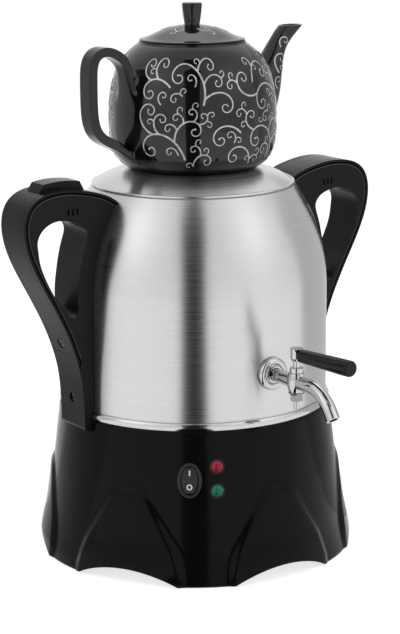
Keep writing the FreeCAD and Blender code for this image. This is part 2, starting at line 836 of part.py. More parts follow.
def cover_strip(depth, width, extra):
    """Strip that follows the outer contour, down to a depth below it"""
    spline = spline_of(outer_points)
    highest = outer_points[cover_start]
    lowest = outer_points[cover_end]
    start = spline.parameter(V(highest[0] - extra, 0, highest[1] - extra))
    end = spline.parameter(V(lowest[0] - extra * 0.35, 0, lowest[1] - extra * 0.94))
    outer_edge = spline.toShape(start, end)
    inner = [(p[0], p[1]) for p in offset_points(outer_points, -depth)[cover_start:cover_end + 1]]
    inner_edge = curve(inner)
    a = outer_edge.valueAt(outer_edge.FirstParameter)
    b = outer_edge.valueAt(outer_edge.LastParameter)
    edges = [outer_edge, line((a.x, a.z), inner[0]), inner_edge, line(inner[-1], (b.x, b.z))]
    return slab(edges, width)


def keep_out():
    """Tank, ring and base grown by the fit gap, where no handle may reach"""
    side = tank_outline(-fit_gap, tank_floor_z, 0)
    low = base_solid(-fit_gap)
    band = ring(ring_radius + fit_gap, stud_circle, tank_floor_z - 0.2, tank_floor_z + ring_height + fit_gap)
    return side.fuse([low, band])


def contour_frame(z):
    """Point on the lower outer contour at a height, and its outward direction"""
    spline = spline_of(outer_points)
    level = Part.LineSegment(V(tank_radius - 2, 0, z), V(tank_radius + 68, 0, z))
    hits = spline.intersect(level)
    hit = min(hits, key=lambda p: p.X)
    point = V(hit.X, 0, z)
    tangent = spline.tangent(spline.parameter(point))[0]
    out = V(abs(tangent.z), 0, -abs(tangent.x))
    return point, out


def handle_cavity():
    """Room under the cover for the thumb switch"""
    return box(cavity_length, cavity_width, cavity_height, (cavity_x, 0), cavity_low_z)


def make_handle_solid(room):
    """Handle frame with its cover's bed, cavity, vents and screw recesses"""
    frame = handle_body().cut(room)
    bed = cover_strip(cover_depth + fit_gap, cover_width + 2 * groove_gap, groove_gap)
    frame = frame.cut(bed)
    contour = cover_strip(cover_depth - 1, cavity_width, 0)
    frame = frame.cut(handle_cavity().cut(contour))
    for i in range(vent_count):
        x = vent_x + (i - (vent_count - 1) / 2) * vent_pitch
        frame = frame.cut(box(vent_width, handle_width + 2, vent_height, (x, 0), vent_z - vent_height / 2))
    for z in (low_screw_z, cover_screw_z):
        point, out = contour_frame(z)
        sink = handle_head_height + handle_head_sink
        frame = frame.cut(rod(handle_head_radius + head_gap, point - out * sink, point + out * 3))
        frame = frame.cut(rod(handle_screw_radius + fit_gap, point - out * 12, point))
    base_point = V(tank_radius - 1, 0, low_screw_z)
    tip = V(tank_radius + low_boss_length + fit_gap, 0, low_screw_z)
    frame = frame.cut(rod(handle_boss_radius + fit_gap, base_point, tip))
    top = V(top_screw_x, 0, top_boss_z + fit_gap)
    frame = frame.cut(rod(handle_boss_radius + fit_gap, top - V(0, 0, top_boss_length + 1), top))
    frame = frame.cut(rod(handle_screw_radius + fit_gap, top, top + V(0, 0, 20)))
    head_low = V(top_screw_x, 0, top_boss_z + top_seat_rise)
    return frame.cut(rod(handle_head_radius + fit_gap, head_low, head_low + V(0, 0, 20)))


def mirrored(shape):
    """The same piece on the other side of the tank"""
    return shape.mirror(V(0, 0, 0), V(1, 0, 0))


def cover_hole(shape):
    """Hole for the screw at the lower end of a cover"""
    point, out = contour_frame(cover_screw_z)
    sink = handle_head_height + handle_head_sink
    shape = shape.cut(rod(handle_head_radius + head_gap, point - out * (cover_depth - 1.0), point + out * 3))
    return shape.cut(rod(handle_screw_radius + fit_gap, point - out * (sink + 3), point))


def make_handle_cover():
    """Inlaid strip that closes the handle from outside"""
    return cover_hole(cover_strip(cover_depth, cover_width, 0))


def button_hole():
    """Room for the thumb button through the left cover and below it"""
    length = button_high_x - button_low_x + 2 * button_gap
    centre = (button_high_x + button_low_x) / 2
    low = button_low_z - button_travel - button_gap
    return box(length, button_width + 2 * button_gap, 30.0, (centre, 0), low)


def handle_screw_group():
    """Lower and upper fixing screws of one handle"""
    point, out = contour_frame(low_screw_z)
    low_seat = point - out * (handle_head_height + handle_head_sink)
    low = pan_screw(handle_head_radius, handle_head_height, handle_screw_radius, 4.2, low_seat, out * -1)
    top_seat = V(top_screw_x, 0, top_boss_z + top_seat_rise)
    top = pan_screw(handle_head_radius, handle_head_height, handle_screw_radius, 10.0, top_seat, V(0, 0, -1))
    return [low, top]


def cover_screw():
    """Screw that holds the lower end of one cover"""
    point, out = contour_frame(cover_screw_z)
    seat = point - out * (cover_depth - 1.0)
    return pan_screw(handle_head_radius, 1.4, handle_screw_radius - 0.3, 9.0, seat, out * -1)


def handle_boss_group():
    """Threaded bosses welded to the tank for one handle"""
    tank = tank_outline(0, tank_floor_z, 0)
    low = rod(handle_boss_radius, V(tank_radius - 4, 0, low_screw_z),
              V(tank_radius + low_boss_length, 0, low_screw_z))
    top_end = V(top_screw_x, 0, top_boss_z)
    top = rod(handle_boss_radius, top_end - V(0, 0, top_boss_length), top_end)
    solids = []
    for solid, screw in zip((low, top), handle_screw_group()):
        solids.append(solid.cut(tank).cut(screw))
    return solids


# Thumb switch in the left handle, drawn for +X

button_x = (button_low_x + button_high_x) / 2
micro_top = cavity_low_z + micro_height


def make_micro_switch():
    """Small switch on the floor of the handle's cavity"""
    body = box(micro_length, micro_width, micro_height, (button_x, 0), cavity_low_z)
    return body.cut(Part.makeCylinder(plunger_radius + 0.2, 3.0, V(button_x, 0, micro_top - 3.0)))


def make_plunger():
    """Plunger of the small switch"""
    low = micro_top - plunger_root
    return Part.makeCylinder(plunger_radius, plunger_height + plunger_root, V(button_x, 0, low))


def make_button():
    """Trapezoid thumb button with a crowned top and a stem"""
    low = button_low_z
    top = button_top_z
    crown = [(button_high_x - 3.6, top - 1.4), (button_x, top), (button_low_x + 3.6, top - 1.4)]
    edges = [line((button_low_x, low), (button_high_x, low)),
             line((button_high_x, low), (button_high_x, crest - 1.0)),
             line((button_high_x, crest - 1.0), crown[0]),
             arc(crown[0], crown[1], crown[2]),
             line(crown[2], (button_low_x, crest - 2.5)),
             line((button_low_x, crest - 2.5), (button_low_x, low))]
    cap = slab(edges, button_width)
    stem = rod(button_stem_radius, V(button_x, 0, micro_top + plunger_height + 0.1), V(button_x, 0, low + 5))
    hollow = box(button_high_x - button_low_x - 5, button_width - 5, 3.5, (button_x, 0), low)
    return cap.cut(hollow).fuse(stem)


# Tap

def along_y(radius_a, radius_b, y_a, y_b):
    """Round or tapered bar on the tap's axis"""
    start = V(0, y_a, tap_z)
    end = V(0, y_b, tap_z)
    if radius_a == radius_b:
        return rod(radius_a, start, end)
    return cone(radius_a, radius_b, start, end)


def upright(shape):
    """Move a turned piece to the valve's upright axis"""
    moved = shape.copy()
    moved.translate(V(0, valve_y, 0))
    return moved


def spout_pipe(radius):
    """Spout tube: straight out of the valve, then bent down"""
    start = V(0, valve_y, tap_z)
    bend = V(0, valve_y - spout_straight, tap_z)
    centre = bend - V(0, 0, spout_bend)
    half = math.radians(spout_sweep / 2)
    full = math.radians(spout_sweep)
    middle = centre + V(0, -spout_bend * math.sin(half), spout_bend * math.cos(half))
    end = centre + V(0, -spout_bend * math.sin(full), spout_bend * math.cos(full))
    tip = end + V(0, -math.cos(full), -math.sin(full)) * spout_end
    path = Part.Wire([Part.LineSegment(start, bend).toShape(), Part.Arc(bend, middle, end).toShape(),
                      Part.LineSegment(end, tip).toShape()])
    section = Part.Wire(Part.Circle(start, V(0, 1, 0), radius).toShape())
    return path.makePipeShell([section], True, False)


valve_low = tap_z - valve_height / 2
valve_high = tap_z + valve_height / 2


def plug_cone(gap):
    """Tapered seat of the plug, from below the valve to above it"""
    slope = (plug_top_radius - plug_low_radius) / valve_height
    low = plug_low_radius + gap - slope
    high = plug_top_radius + gap + slope
    return upright(Part.makeCone(low, high, valve_height + 2, V(0, 0, valve_low - 1)))


def make_tap_body():
    """Cast body: threaded shank, neck, valve barrel and bent spout, bored through"""
    shank = along_y(shank_radius, shank_radius, shank_inner_y, flange_y - 1)
    neck = along_y(neck_small, neck_large, flange_y - 1, valve_y)
    barrel = upright(lathe([line((0, valve_low), (valve_radius - 1.2, valve_low)),
                            arc((valve_radius - 1.2, valve_low), (valve_radius, tap_z),
                                (valve_radius - 1.2, valve_high)),
                            line((valve_radius - 1.2, valve_high), (0, valve_high)),
                            line((0, valve_high), (0, valve_low))]))
    body = shank.fuse([neck, barrel, spout_pipe(spout_radius)])
    bore = along_y(tap_bore, tap_bore, shank_inner_y + 1, valve_y)
    return body.cut(bore).cut(spout_pipe(tap_bore)).cut(plug_cone(0))


def make_escutcheon():
    """Domed flange that covers the hole in the tank"""
    back = -flange_y
    front = back + flange_thickness
    profile = [line((shank_radius + fit_gap, back), (flange_radius, back)),
               line((flange_radius, back), (flange_radius, back + 0.8)),
               arc((flange_radius, back + 0.8), (flange_radius - 2.6, back + 2.6),
                   (shank_radius + 1.2, front)),
               line((shank_radius + 1.2, front), (shank_radius + fit_gap, front)),
               line((shank_radius + fit_gap, front), (shank_radius + fit_gap, back))]
    disc = lathe(profile)
    disc.rotate(V(0, 0, 0), V(1, 0, 0), 90)
    disc.translate(V(0, 0, tap_z))
    return disc


def make_gasket():
    """Silicone washer between flange and tank"""
    bore = shank_radius + fit_gap
    washer = along_y(flange_radius - 1, flange_radius - 1, -tank_radius + 4, flange_y)
    washer = washer.cut(along_y(bore, bore, -tank_radius + 5, flange_y - 1))
    return washer.cut(tank_outline(0, tank_floor_z, 0))


def make_lock_nut():
    """Nut inside the tank with a washer face against the wall"""
    inner_face = -(tank_radius - tank_sheet)
    seat = inner_face + lock_washer
    nut = hexagon(lock_nut_flats, lock_nut_height, V(0, seat, tap_z), V(0, 1, 0))
    washer = along_y(lock_nut_flats / 2, lock_nut_flats / 2, inner_face - 1, seat)
    nut = nut.fuse(washer.common(tank_outline(tank_sheet, tank_floor_z + tank_sheet, 0)))
    return nut.cut(along_y(shank_radius, shank_radius, -tank_radius, shank_inner_y + 1))


def make_plug():
    """Tapered plug with its collar, stem and tail"""
    seat = box(40, 40, valve_height + 0.6, (0, valve_y), valve_low - 0.1)
    cone_part = plug_cone(-running_gap).common(seat)
    collar = ring_solid(collar_radius, valve_high + 0.5, valve_high + 3.6)
    stem = ring_solid(stem_radius, valve_high + 3.5, head_z + 1)
    head_top = head_z + head_height
    head = upright(lathe(polygon([(0, head_z), (head_radius - 1.4, head_z),
                                  (head_radius - 0.5, head_z + 2.0), (head_radius - 0.4, head_top - 1.6),
                                  (head_radius, head_top), (0, head_top)])))
    tail = ring_solid(tail_radius, tail_end_z, valve_low)
    plug = cone_part.fuse([collar, stem, head, tail])
    across = rod(tap_bore - 0.3, V(-10, valve_y, tap_z), V(10, valve_y, tap_z))
    return plug.cut(across).cut(make_lever_pin())


def ring_solid(radius, low, high):
    """Plain round bar on the valve's upright axis"""
    return Part.makeCylinder(radius, high - low, V(0, valve_y, low))


lever_z = head_z + head_height * 0.48


def lever_rod(radius, y_a, y_b):
    """Bar on the tilted axis of the lever"""
    rise = math.tan(math.radians(lever_tilt))
    start = V(0, y_a, lever_z + (valve_y - y_a) * rise)
    return rod(radius, start, V(0, y_b, lever_z + (valve_y - y_b) * rise))


def make_lever_pin():
    """Steel pin that carries the grip"""
    return lever_rod(lever_pin, valve_y, grip_start_y - pin_reach)


def make_grip():
    """Black turned grip, thicker and rounded at its end"""
    tilt = math.radians(lever_tilt)
    start = V(0, grip_start_y, lever_z + (valve_y - grip_start_y) * math.tan(tilt))
    end_round = 1.6
    grip = lathe([line((0, 0), (grip_small - 0.5, 0)),
                  line((grip_small - 0.5, 0), (grip_small, 0.8)),
                  line((grip_small, 0.8), (grip_large, grip_length - 10)),
                  line((grip_large, grip_length - 10), (grip_large, grip_length - end_round)),
                  arc((grip_large, grip_length - end_round), (grip_large - 0.5, grip_length - 0.5),
                      (grip_large - end_round, grip_length)),
                  line((grip_large - end_round, grip_length), (0, grip_length)),
                  line((0, grip_length), (0, 0))])
    direction = V(0, -math.cos(tilt), math.sin(tilt))
    grip.Placement = FreeCAD.Placement(start, FreeCAD.Rotation(V(0, 0, 1), direction))
    return grip.cut(make_lever_pin())


washer_high = valve_low - 0.3
nut_high = washer_high - spring_height


def make_tap_spring():
    """Dished spring washer under the valve"""
    return upright(lathe(polygon([(tail_radius + 0.1, washer_high - spring_height),
                                  (valve_radius - 2.0, washer_high - spring_height),
                                  (valve_radius - 1.0, washer_high - 0.6), (valve_radius - 1.0, washer_high),
                                  (tail_radius + 0.1, washer_high)])))


def make_tap_nut():
    """Nut on the plug's tail"""
    nut = hexagon(tap_nut_flats, tap_nut_height, V(0, valve_y, nut_high - tap_nut_height), V(0, 0, 1))
    return nut.cut(ring_solid(tail_radius, nut_high - tap_nut_height - 1, nut_high + 1))


# Controls on the base, drawn in the wall's local frame

def make_switch_body():
    """Oval bezel in one piece with the housing behind the wall"""
    bezel = ellipse_bar(bezel_half_width, bezel_half_height, 0, bezel_lip)
    neck = ellipse_bar(bezel_half_width - 1.2, bezel_half_height - 1.6, -switch_depth, 0.5)
    body = bezel.fuse(neck)
    bowl = ellipse_bar(rocker_half_width + rocker_gap, rocker_half_height + rocker_gap,
                       1.5 - switch_depth, bezel_lip + 1)
    body = body.cut(bowl)
    for side in (-1, 1):
        ear = rod(rocker_pin_radius, V(side * (rocker_half_width + rocker_gap - 1.5), 0, 0),
                  V(side * (rocker_half_width + rocker_gap + 2), 0, 0))
        body = body.cut(ear)
    return on_wall(body, switch_azimuth, switch_z)


def make_rocker():
    """Rocker with two faces that meet at its middle, turned to its off side"""
    block = ellipse_bar(rocker_half_width, rocker_half_height, -4.0, bezel_lip + 2)
    sweep = rod(rocker_half_height - 0.1, V(-20, 0, 0), V(20, 0, 0))
    rocker = block.common(sweep)
    rise = bezel_lip + 0.4
    for side in (-1, 1):
        knife = Part.makeBox(40, 30, 20, V(-20, 0, 0))
        if side < 0:
            knife.translate(V(0, -30, 0))
        knife.rotate(V(0, 0, 0), V(1, 0, 0), side * rocker_tilt)
        knife.translate(V(0, 0, rise))
        rocker = rocker.cut(knife)
    for side in (-1, 1):
        reach = side * (rocker_half_width + rocker_gap + 0.9)
        pin = rod(rocker_pin_radius - running_gap, V(0, 0, 0), V(reach, 0, 0))
        rocker = rocker.fuse(pin)
    rocker.rotate(V(0, 0, 0), V(1, 0, 0), -rocker_tilt)
    return on_wall(rocker, switch_azimuth, switch_z)


def make_switch_tabs():
    """Blades behind the switch"""
    blades = []
    for row in (-5, 0, 5):
        blades.append(on_wall(box(4.8, 0.8, 8, (0, row), -switch_depth - 8), switch_azimuth, switch_z))
    return group(blades)


def make_lamp_bezels():
    """Threaded rims of the two indicators"""
    bezels = []
    for azimuth, z in lamp_places():
        body = Part.makeCylinder(lamp_bezel_radius, lamp_lip, V(0, 0, 0))
        body = body.fuse(Part.makeCylinder(lamp_barrel_radius, lamp_depth, V(0, 0, -lamp_depth)))
        body = body.cut(Part.makeCylinder(lamp_lens_radius, lamp_depth + 5, V(0, 0, -lamp_depth - 1)))
        bezels.append(on_wall(body, azimuth, z))
    return group(bezels)


def make_lens(z):
    """Domed lens of one indicator"""
    r = lamp_lens_radius - running_gap
    edge = lamp_lip + 0.4
    ball = (r ** 2 + lens_crown ** 2) / (2 * lens_crown)
    half = math.asin(r / ball) / 2
    middle = (ball * math.sin(half), edge + lens_crown - ball * (1 - math.cos(half)))
    lens = lathe([line((0, -lens_root), (r, -lens_root)), line((r, -lens_root), (r, edge)),
                  arc((r, edge), middle, (0, edge + lens_crown)),
                  line((0, edge + lens_crown), (0, -lens_root))])
    return on_wall(lens, lamp_azimuth, z)


def make_lamps():
    """Small neon lamps behind the lenses"""
    lamps = []
    for azimuth, z in lamp_places():
        bulb = Part.makeCylinder(2.4, 7, V(0, 0, -lens_root - 7.1))
        base = Part.makeCylinder(lamp_lens_radius - running_gap, 1.5, V(0, 0, -lens_root - 8.6))
        lamps.append(on_wall(bulb.fuse(base), azimuth, z))
    return group(lamps)


def make_inlet():
    """Appliance inlet with a flange outside the wall"""
    width = inlet_width + 2 * inlet_flange_lip
    height = inlet_height + 2 * inlet_flange_lip
    body = box(width, height, inlet_flange, (0, 0), 0)
    body = body.fuse(box(inlet_width, inlet_height, inlet_depth, (0, 0), -inlet_depth))
    hollow = box(inlet_width - 2 * inlet_wall, inlet_height - 2 * inlet_wall, inlet_depth + 10,
                 (0, 0), inlet_wall - inlet_depth)
    return on_wall(body.cut(hollow).cut(inlet_pin_solids()), inlet_azimuth, inlet_z)


def inlet_pin_solids():
    """Three flat pins in local coordinates"""
    reach = inlet_depth + inlet_pin_tail - inlet_pin_gap + inlet_flange
    pins = []
    for x, y in ((-7, 2), (0, -2), (7, 2)):
        pins.append(box(2, 4, reach, (x, y), -inlet_depth - inlet_pin_tail))
    return group(pins)


def make_inlet_pins():
    """Pins of the inlet, with tails behind it"""
    return on_wall(inlet_pin_solids(), inlet_azimuth, inlet_z)


def build():
    """Make and write every node"""
    save("tank_shell", make_tank())
    save("tank_floor", floor_disc())
    save("trim_ring", make_ring())
    save("base_shell", make_base())
    save("base_cover", make_base_cover())
    save("foot_pads", make_foot_pads())
    save("base_screws", make_cover_screws())
    save("tank_studs", make_studs())
    save("tank_nuts", make_stud_nuts())
    save("heating_plate", make_heating_plate())
    save("heating_element", make_element())
    save("boil_thermostat", make_thermostat(0))
    save("warm_thermostat", make_thermostat(-thermostat_offset))
    save("thermal_cutout", make_cutout())
    save("terminal_block", make_terminal_block())
    save("tank_lid", make_tank_lid())
    save("lid_seal", make_lid_seal())
    save("teapot", make_teapot())
    save("teapot_lid", make_teapot_lid())
    room = keep_out()
    frame = make_handle_solid(room)
    save("right_handle", frame)
    save("left_handle", mirrored(frame.cut(button_hole())))
    cover = make_handle_cover()
    save("right_handle_cover", cover)
    save("left_handle_cover", mirrored(cover.cut(button_hole())))
    screws = handle_screw_group()
    save("handle_screws", group(screws + [mirrored(s) for s in screws]))
    save("cover_screws", group([cover_screw(), mirrored(cover_screw())]))
    bosses = handle_boss_group()
    save("handle_bosses", group(bosses + [mirrored(s) for s in bosses]))
    save("micro_switch", mirrored(make_micro_switch()))
    save("switch_plunger", mirrored(make_plunger()))
    save("thumb_button", mirrored(make_button()))
    save("tap_body", make_tap_body())
    save("tap_flange", make_escutcheon())
    save("tap_gasket", make_gasket())
    save("tap_lock_nut", make_lock_nut())
    save("tap_plug", make_plug())
    save("lever_pin", make_lever_pin())
    save("lever_grip", make_grip())
    save("tap_spring", make_tap_spring())
    save("tap_nut", make_tap_nut())
    save("switch_body", make_switch_body())
    save("switch_rocker", make_rocker())
    save("switch_tabs", make_switch_tabs())
    save("lamp_bezels", make_lamp_bezels())
    save("red_lens", make_lens(red_lamp_z))
    save("green_lens", make_lens(green_lamp_z))
    save("lamp_bulbs", make_lamps())
    save("mains_inlet", make_inlet())
    save("inlet_pins", make_inlet_pins())


build()
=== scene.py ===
import json
import math
import random

import bmesh
import bpy
from mathutils import Matrix, Vector
from mathutils.bvhtree import BVHTree


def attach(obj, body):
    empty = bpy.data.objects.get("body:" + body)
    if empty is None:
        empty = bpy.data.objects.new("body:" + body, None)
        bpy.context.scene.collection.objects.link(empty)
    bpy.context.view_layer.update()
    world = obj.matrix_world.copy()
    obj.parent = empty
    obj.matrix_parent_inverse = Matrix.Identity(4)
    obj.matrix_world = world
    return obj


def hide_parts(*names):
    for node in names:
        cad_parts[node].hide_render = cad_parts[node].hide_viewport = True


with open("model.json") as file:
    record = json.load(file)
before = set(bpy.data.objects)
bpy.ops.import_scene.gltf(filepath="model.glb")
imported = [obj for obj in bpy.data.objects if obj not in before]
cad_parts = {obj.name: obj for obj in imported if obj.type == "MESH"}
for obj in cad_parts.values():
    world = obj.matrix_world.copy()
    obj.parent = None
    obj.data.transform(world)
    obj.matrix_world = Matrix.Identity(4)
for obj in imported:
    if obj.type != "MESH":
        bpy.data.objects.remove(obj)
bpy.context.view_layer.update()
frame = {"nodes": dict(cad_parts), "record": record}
nodes = frame["nodes"]

# Lengths are written in millimetres and turned into metres by MM
# Z is up, the tap points to -Y, and an azimuth is measured from the tap, positive towards +X
MM = 0.001

# Camera, fitted to the photograph
CAMERA_DISTANCE = 1530.8
CAMERA_HEIGHT = 535.9
CAMERA_TURN = -34.0
CAMERA_PITCH = 13.207
CAMERA_YAW = 0.178
CAMERA_ROLL = -0.307
FOCAL_PIXELS = 2037.97
FRAME_HEIGHT = 634
SENSOR = 36.0

# Base housing; a side is a list of (height, radius), the petal's outline one of (half width, height)
BASE_TOP_Z = 115.4
BASE_TOP_RADIUS = 104.3
WALL_LOW_Z = 70.0
WALL_LOW_RADIUS = 109.7
WALL_LEAN = math.atan((WALL_LOW_RADIUS - BASE_TOP_RADIUS) / (BASE_TOP_Z - WALL_LOW_Z))
BASE_FOOT_Z = 1.0
BASE_WALL = 2.5
BASE_EDGE = 1.2
BASE_COLUMNS = 600
BASE_ROWS = 96
BASE_SIDE = [(BASE_TOP_Z, BASE_TOP_RADIUS), (WALL_LOW_Z, WALL_LOW_RADIUS), (57.0, 111.0), (45.0, 112.4),
             (32.0, 114.2), (20.0, 116.2), (10.0, 118.6), (1.0, 121.0)]
PETAL_SIDE = [(115.4, 106.5), (70.0, 111.6), (62.0, 112.7), (54.0, 113.6), (45.5, 114.8), (37.0, 116.0),
              (29.0, 117.5), (21.0, 119.3), (13.0, 120.9), (1.0, 122.6)]
PETAL_OUTLINE = [(0.0, 70.5), (7.0, 69.0), (13.0, 65.0), (21.0, 54.0), (30.0, 40.0), (39.5, 25.0),
                 (45.0, 9.0), (45.5, 0.0)]
PETAL_WIDTHS = [(height, half) for half, height in PETAL_OUTLINE]
PETAL_COUNT = 6
PETAL_PITCH = 360.0 / PETAL_COUNT
PETAL_EDGE = 8.0
ARCH_HALF_WIDTH = 43.5
ARCH_HEIGHT = 10.5
FLANGE_HOLE_RADIUS = 70.0
FLANGE_MIDDLE_RADIUS = 88.0

# Places and half sizes of what stands in the base's wall, the red lamp above the green one
SWITCH_AZIMUTH = -36.0
SWITCH_Z = 79.6
SWITCH_HOLE = (8.2, 11.6)
LAMP_AZIMUTH = -25.4
LAMP_HEIGHTS = (89.4, 71.6)
LAMP_HOLE = (5.15, 5.15)
INLET_AZIMUTH = 180.0
INLET_Z = 92.0
INLET_HOLE = (13.65, 10.05)
HOLE_REACH = 8.0


def direction(azimuth, elevation=0.0):
    """Unit vector at an azimuth from the tap and an elevation above the horizon"""
    a = math.radians(azimuth)
    e = math.radians(elevation)
    return Vector((math.sin(a) * math.cos(e), -math.cos(a) * math.cos(e), math.sin(e)))


def make_object(name, mesh):
    """Object in the scene's collection for a mesh"""
    made = bpy.data.objects.new(name, mesh)
    bpy.context.scene.collection.objects.link(made)
    return made


def mesh_object(name, points, faces, smooth=True):
    """Object from points in millimetres and faces"""
    mesh = bpy.data.meshes.new(name)
    mesh.from_pydata([(x * MM, y * MM, z * MM) for x, y, z in points], [], faces)
    mesh.update()
    if smooth:
        smooth_faces(mesh)
    return make_object(name, mesh)


def smooth_faces(mesh):
    """Shade every face of a mesh smooth"""
    mesh.polygons.foreach_set("use_smooth", [True] * len(mesh.polygons))


def band(a, b, count):
    """Faces between two rings of vertices that start at two indices"""
    return [(a + i, a + (i + 1) % count, b + (i + 1) % count, b + i) for i in range(count)]


def bar(first, size, count):
    """Faces of a bar made of rings of vertices, closed at both ends"""
    last = first + size * (count - 1)
    faces = [tuple(first + i for i in reversed(range(size))), tuple(last + i for i in range(size))]
    for a in range(first, last, size):
        faces += band(a, a + size, size)
    return faces


def bake_modifiers(obj):
    """Turn an object's modifiers into its own mesh"""
    depsgraph = bpy.context.evaluated_depsgraph_get()
    baked = bpy.data.meshes.new_from_object(obj.evaluated_get(depsgraph))
    obj.modifiers.clear()
    obj.data = baked


def outward_normals(obj):
    """Make every face of a closed mesh point outward"""
    mesh = bmesh.new()
    mesh.from_mesh(obj.data)
    bmesh.ops.recalc_face_normals(mesh, faces=mesh.faces)
    mesh.to_mesh(obj.data)
    mesh.free()


# Camera

def make_camera():
    """Camera at the photograph's viewing angle"""
    pitch, yaw, roll = (math.radians(a) for a in (CAMERA_PITCH, CAMERA_YAW, CAMERA_ROLL))
    forward = Vector((math.sin(yaw) * math.cos(pitch), math.cos(yaw) * math.cos(pitch), -math.sin(pitch)))
    level = Vector((math.cos(yaw), -math.sin(yaw), 0))
    lifted = level.cross(forward)
    right = level * math.cos(roll) + lifted * math.sin(roll)
    up = lifted * math.cos(roll) - level * math.sin(roll)
    place = Matrix((right, up, -forward)).transposed().to_4x4()
    place.translation = Vector((0, -CAMERA_DISTANCE * MM, CAMERA_HEIGHT * MM))
    data = bpy.data.cameras.new("camera")
    data.sensor_width = SENSOR
    data.lens = FOCAL_PIXELS / FRAME_HEIGHT * SENSOR
    data.clip_start = 0.05
    data.clip_end = 60
    camera = make_object("camera", data)
    camera.matrix_world = Matrix.Rotation(math.radians(CAMERA_TURN), 4, "Z") @ place
    bpy.context.scene.camera = camera


# Finishes

PATTERN_RANGE = (0.3, 0.7)


def blank_tree(data):
    """Empty node tree of a material or a world"""
    data.use_nodes = True
    data.node_tree.nodes.clear()
    return data.node_tree


def add_node(tree, kind, inputs=None, **settings):
    """New node of a kind, with values for its sockets and its settings"""
    made = tree.nodes.new("ShaderNode" + kind)
    for socket, value in (inputs or {}).items():
        made.inputs[socket].default_value = value
    for key, value in settings.items():
        setattr(made, key, value)
    return made


class Finish:
    """A material's nodes, with short calls for the patterns that finishes share"""

    def __init__(self, name, **sockets):
        self.material = bpy.data.materials.new(name)
        self.tree = blank_tree(self.material)
        inputs = {socket.replace("_", " "): value for socket, value in sockets.items()}
        self.shader = self.node("BsdfPrincipled", inputs)
        self.link(self.shader.outputs["BSDF"], self.node("OutputMaterial").inputs["Surface"])

    def node(self, kind, inputs=None, **settings):
        return add_node(self.tree, kind, inputs, **settings)

    def link(self, output, socket):
        self.tree.links.new(output, socket)

    def noise(self, scale, detail=3.0):
        """Noise in the object's own frame; scale is one number or three, in waves per metre"""
        scales = scale if hasattr(scale, "__len__") else (scale,) * 3
        mapping = self.node("Mapping", {"Scale": scales})
        pattern = self.node("TexNoise", {"Scale": 1.0, "Detail": detail, "Roughness": 0.55})
        self.link(self.node("TexCoord").outputs["Object"], mapping.inputs["Vector"])
        self.link(mapping.outputs["Vector"], pattern.inputs["Vector"])
        return pattern.outputs["Fac"]

    def colours(self, value, dark, light):
        """Base colour that runs between two colours with a pattern"""
        ramp = self.node("ValToRGB")
        for element, position, colour in zip(ramp.color_ramp.elements, PATTERN_RANGE, (dark, light)):
            element.position = position
            element.color = (*colour, 1)
        self.link(value, ramp.inputs["Fac"])
        self.link(ramp.outputs["Color"], self.shader.inputs["Base Color"])

    def roughness(self, value, low, high):
        """Roughness that runs between two values with a pattern"""
        first, last = PATTERN_RANGE
        ranged = self.node("MapRange", {"From Min": first, "From Max": last, "To Min": low, "To Max": high})
        self.link(value, ranged.inputs["Value"])
        self.link(ranged.outputs["Result"], self.shader.inputs["Roughness"])

    def bump(self, value, height, before=None):
        """Relief of a height in millimetres, on top of the one before"""
        relief = self.node("Bump", {"Strength": 1.0, "Distance": height * MM})
        self.link(value, relief.inputs["Height"])
        if before is not None:
            self.link(before, relief.inputs["Normal"])
        self.link(relief.outputs["Normal"], self.shader.inputs["Normal"])
        return relief.outputs["Normal"]


def grey(level):
    return (level, level, level)


def shade(colour, share):
    """Darker or lighter version of a colour"""
    return tuple(c * share for c in colour)


# Brightness, lowest and highest roughness, height of the wipe marks
METALS = {
    "polished_steel": (0.54, 0.10, 0.16, 0.004),
    "chrome": (0.52, 0.05, 0.10, 0.006),
    "dark_chrome": (0.26, 0.10, 0.18, 0.006),
    # darkened steel for the handles' screws: painted shade of the holes they sit in
    "dark_steel": (0.10, 0.22, 0.34, 0.006),
    "zinc_steel": (0.56, 0.26, 0.38, 0.006),
    "aluminium": (0.70, 0.32, 0.46, 0.012),
    "element_steel": (0.34, 0.30, 0.44, 0.010),
    "control_metal": (0.60, 0.24, 0.36, 0.008),
}
# Colour, lowest and highest roughness, grain's fineness and height, specular level, height of the waves
MOULDINGS = {
    "gloss_black": (grey(0.0028), 0.11, 0.18, 900.0, 0.003, 0.08, 0.03),
    "handle_black": (grey(0.0050), 0.20, 0.30, 2600.0, 0.008, 0.12),
    "grip_black": (grey(0.006), 0.12, 0.20, 1800.0, 0.006, 0.20),
    "switch_black": (grey(0.016), 0.30, 0.40, 2200.0, 0.010),
    # near-black strip along the handles' seam: painted shade of the groove
    "seam_black": (grey(0.0008), 0.7, 0.8, 1800.0, 0.004, 0.03),
    "bead_black": (grey(0.006), 0.12, 0.20, 2600.0, 0.004, 0.45),
    "rim_black": (grey(0.010), 0.22, 0.32, 1800.0, 0.006, 0.15),
    "mark_white": (grey(0.50), 0.35, 0.45, 1800.0, 0.004),
    "inner_plastic": ((0.05, 0.05, 0.052), 0.45, 0.6, 1500.0, 0.01),
    "rubber": (grey(0.02), 0.6, 0.8, 2400.0, 0.02, 0.3),
    "silicone": ((0.50, 0.49, 0.47), 0.42, 0.55, 1500.0, 0.008, 0.4),
    "brass": ((0.60, 0.42, 0.18), 0.25, 0.35, 900.0, 0.006),
}
LENSES = {"red_lens": (0.26, 0.010, 0.026), "green_lens": (0.004, 0.14, 0.085)}


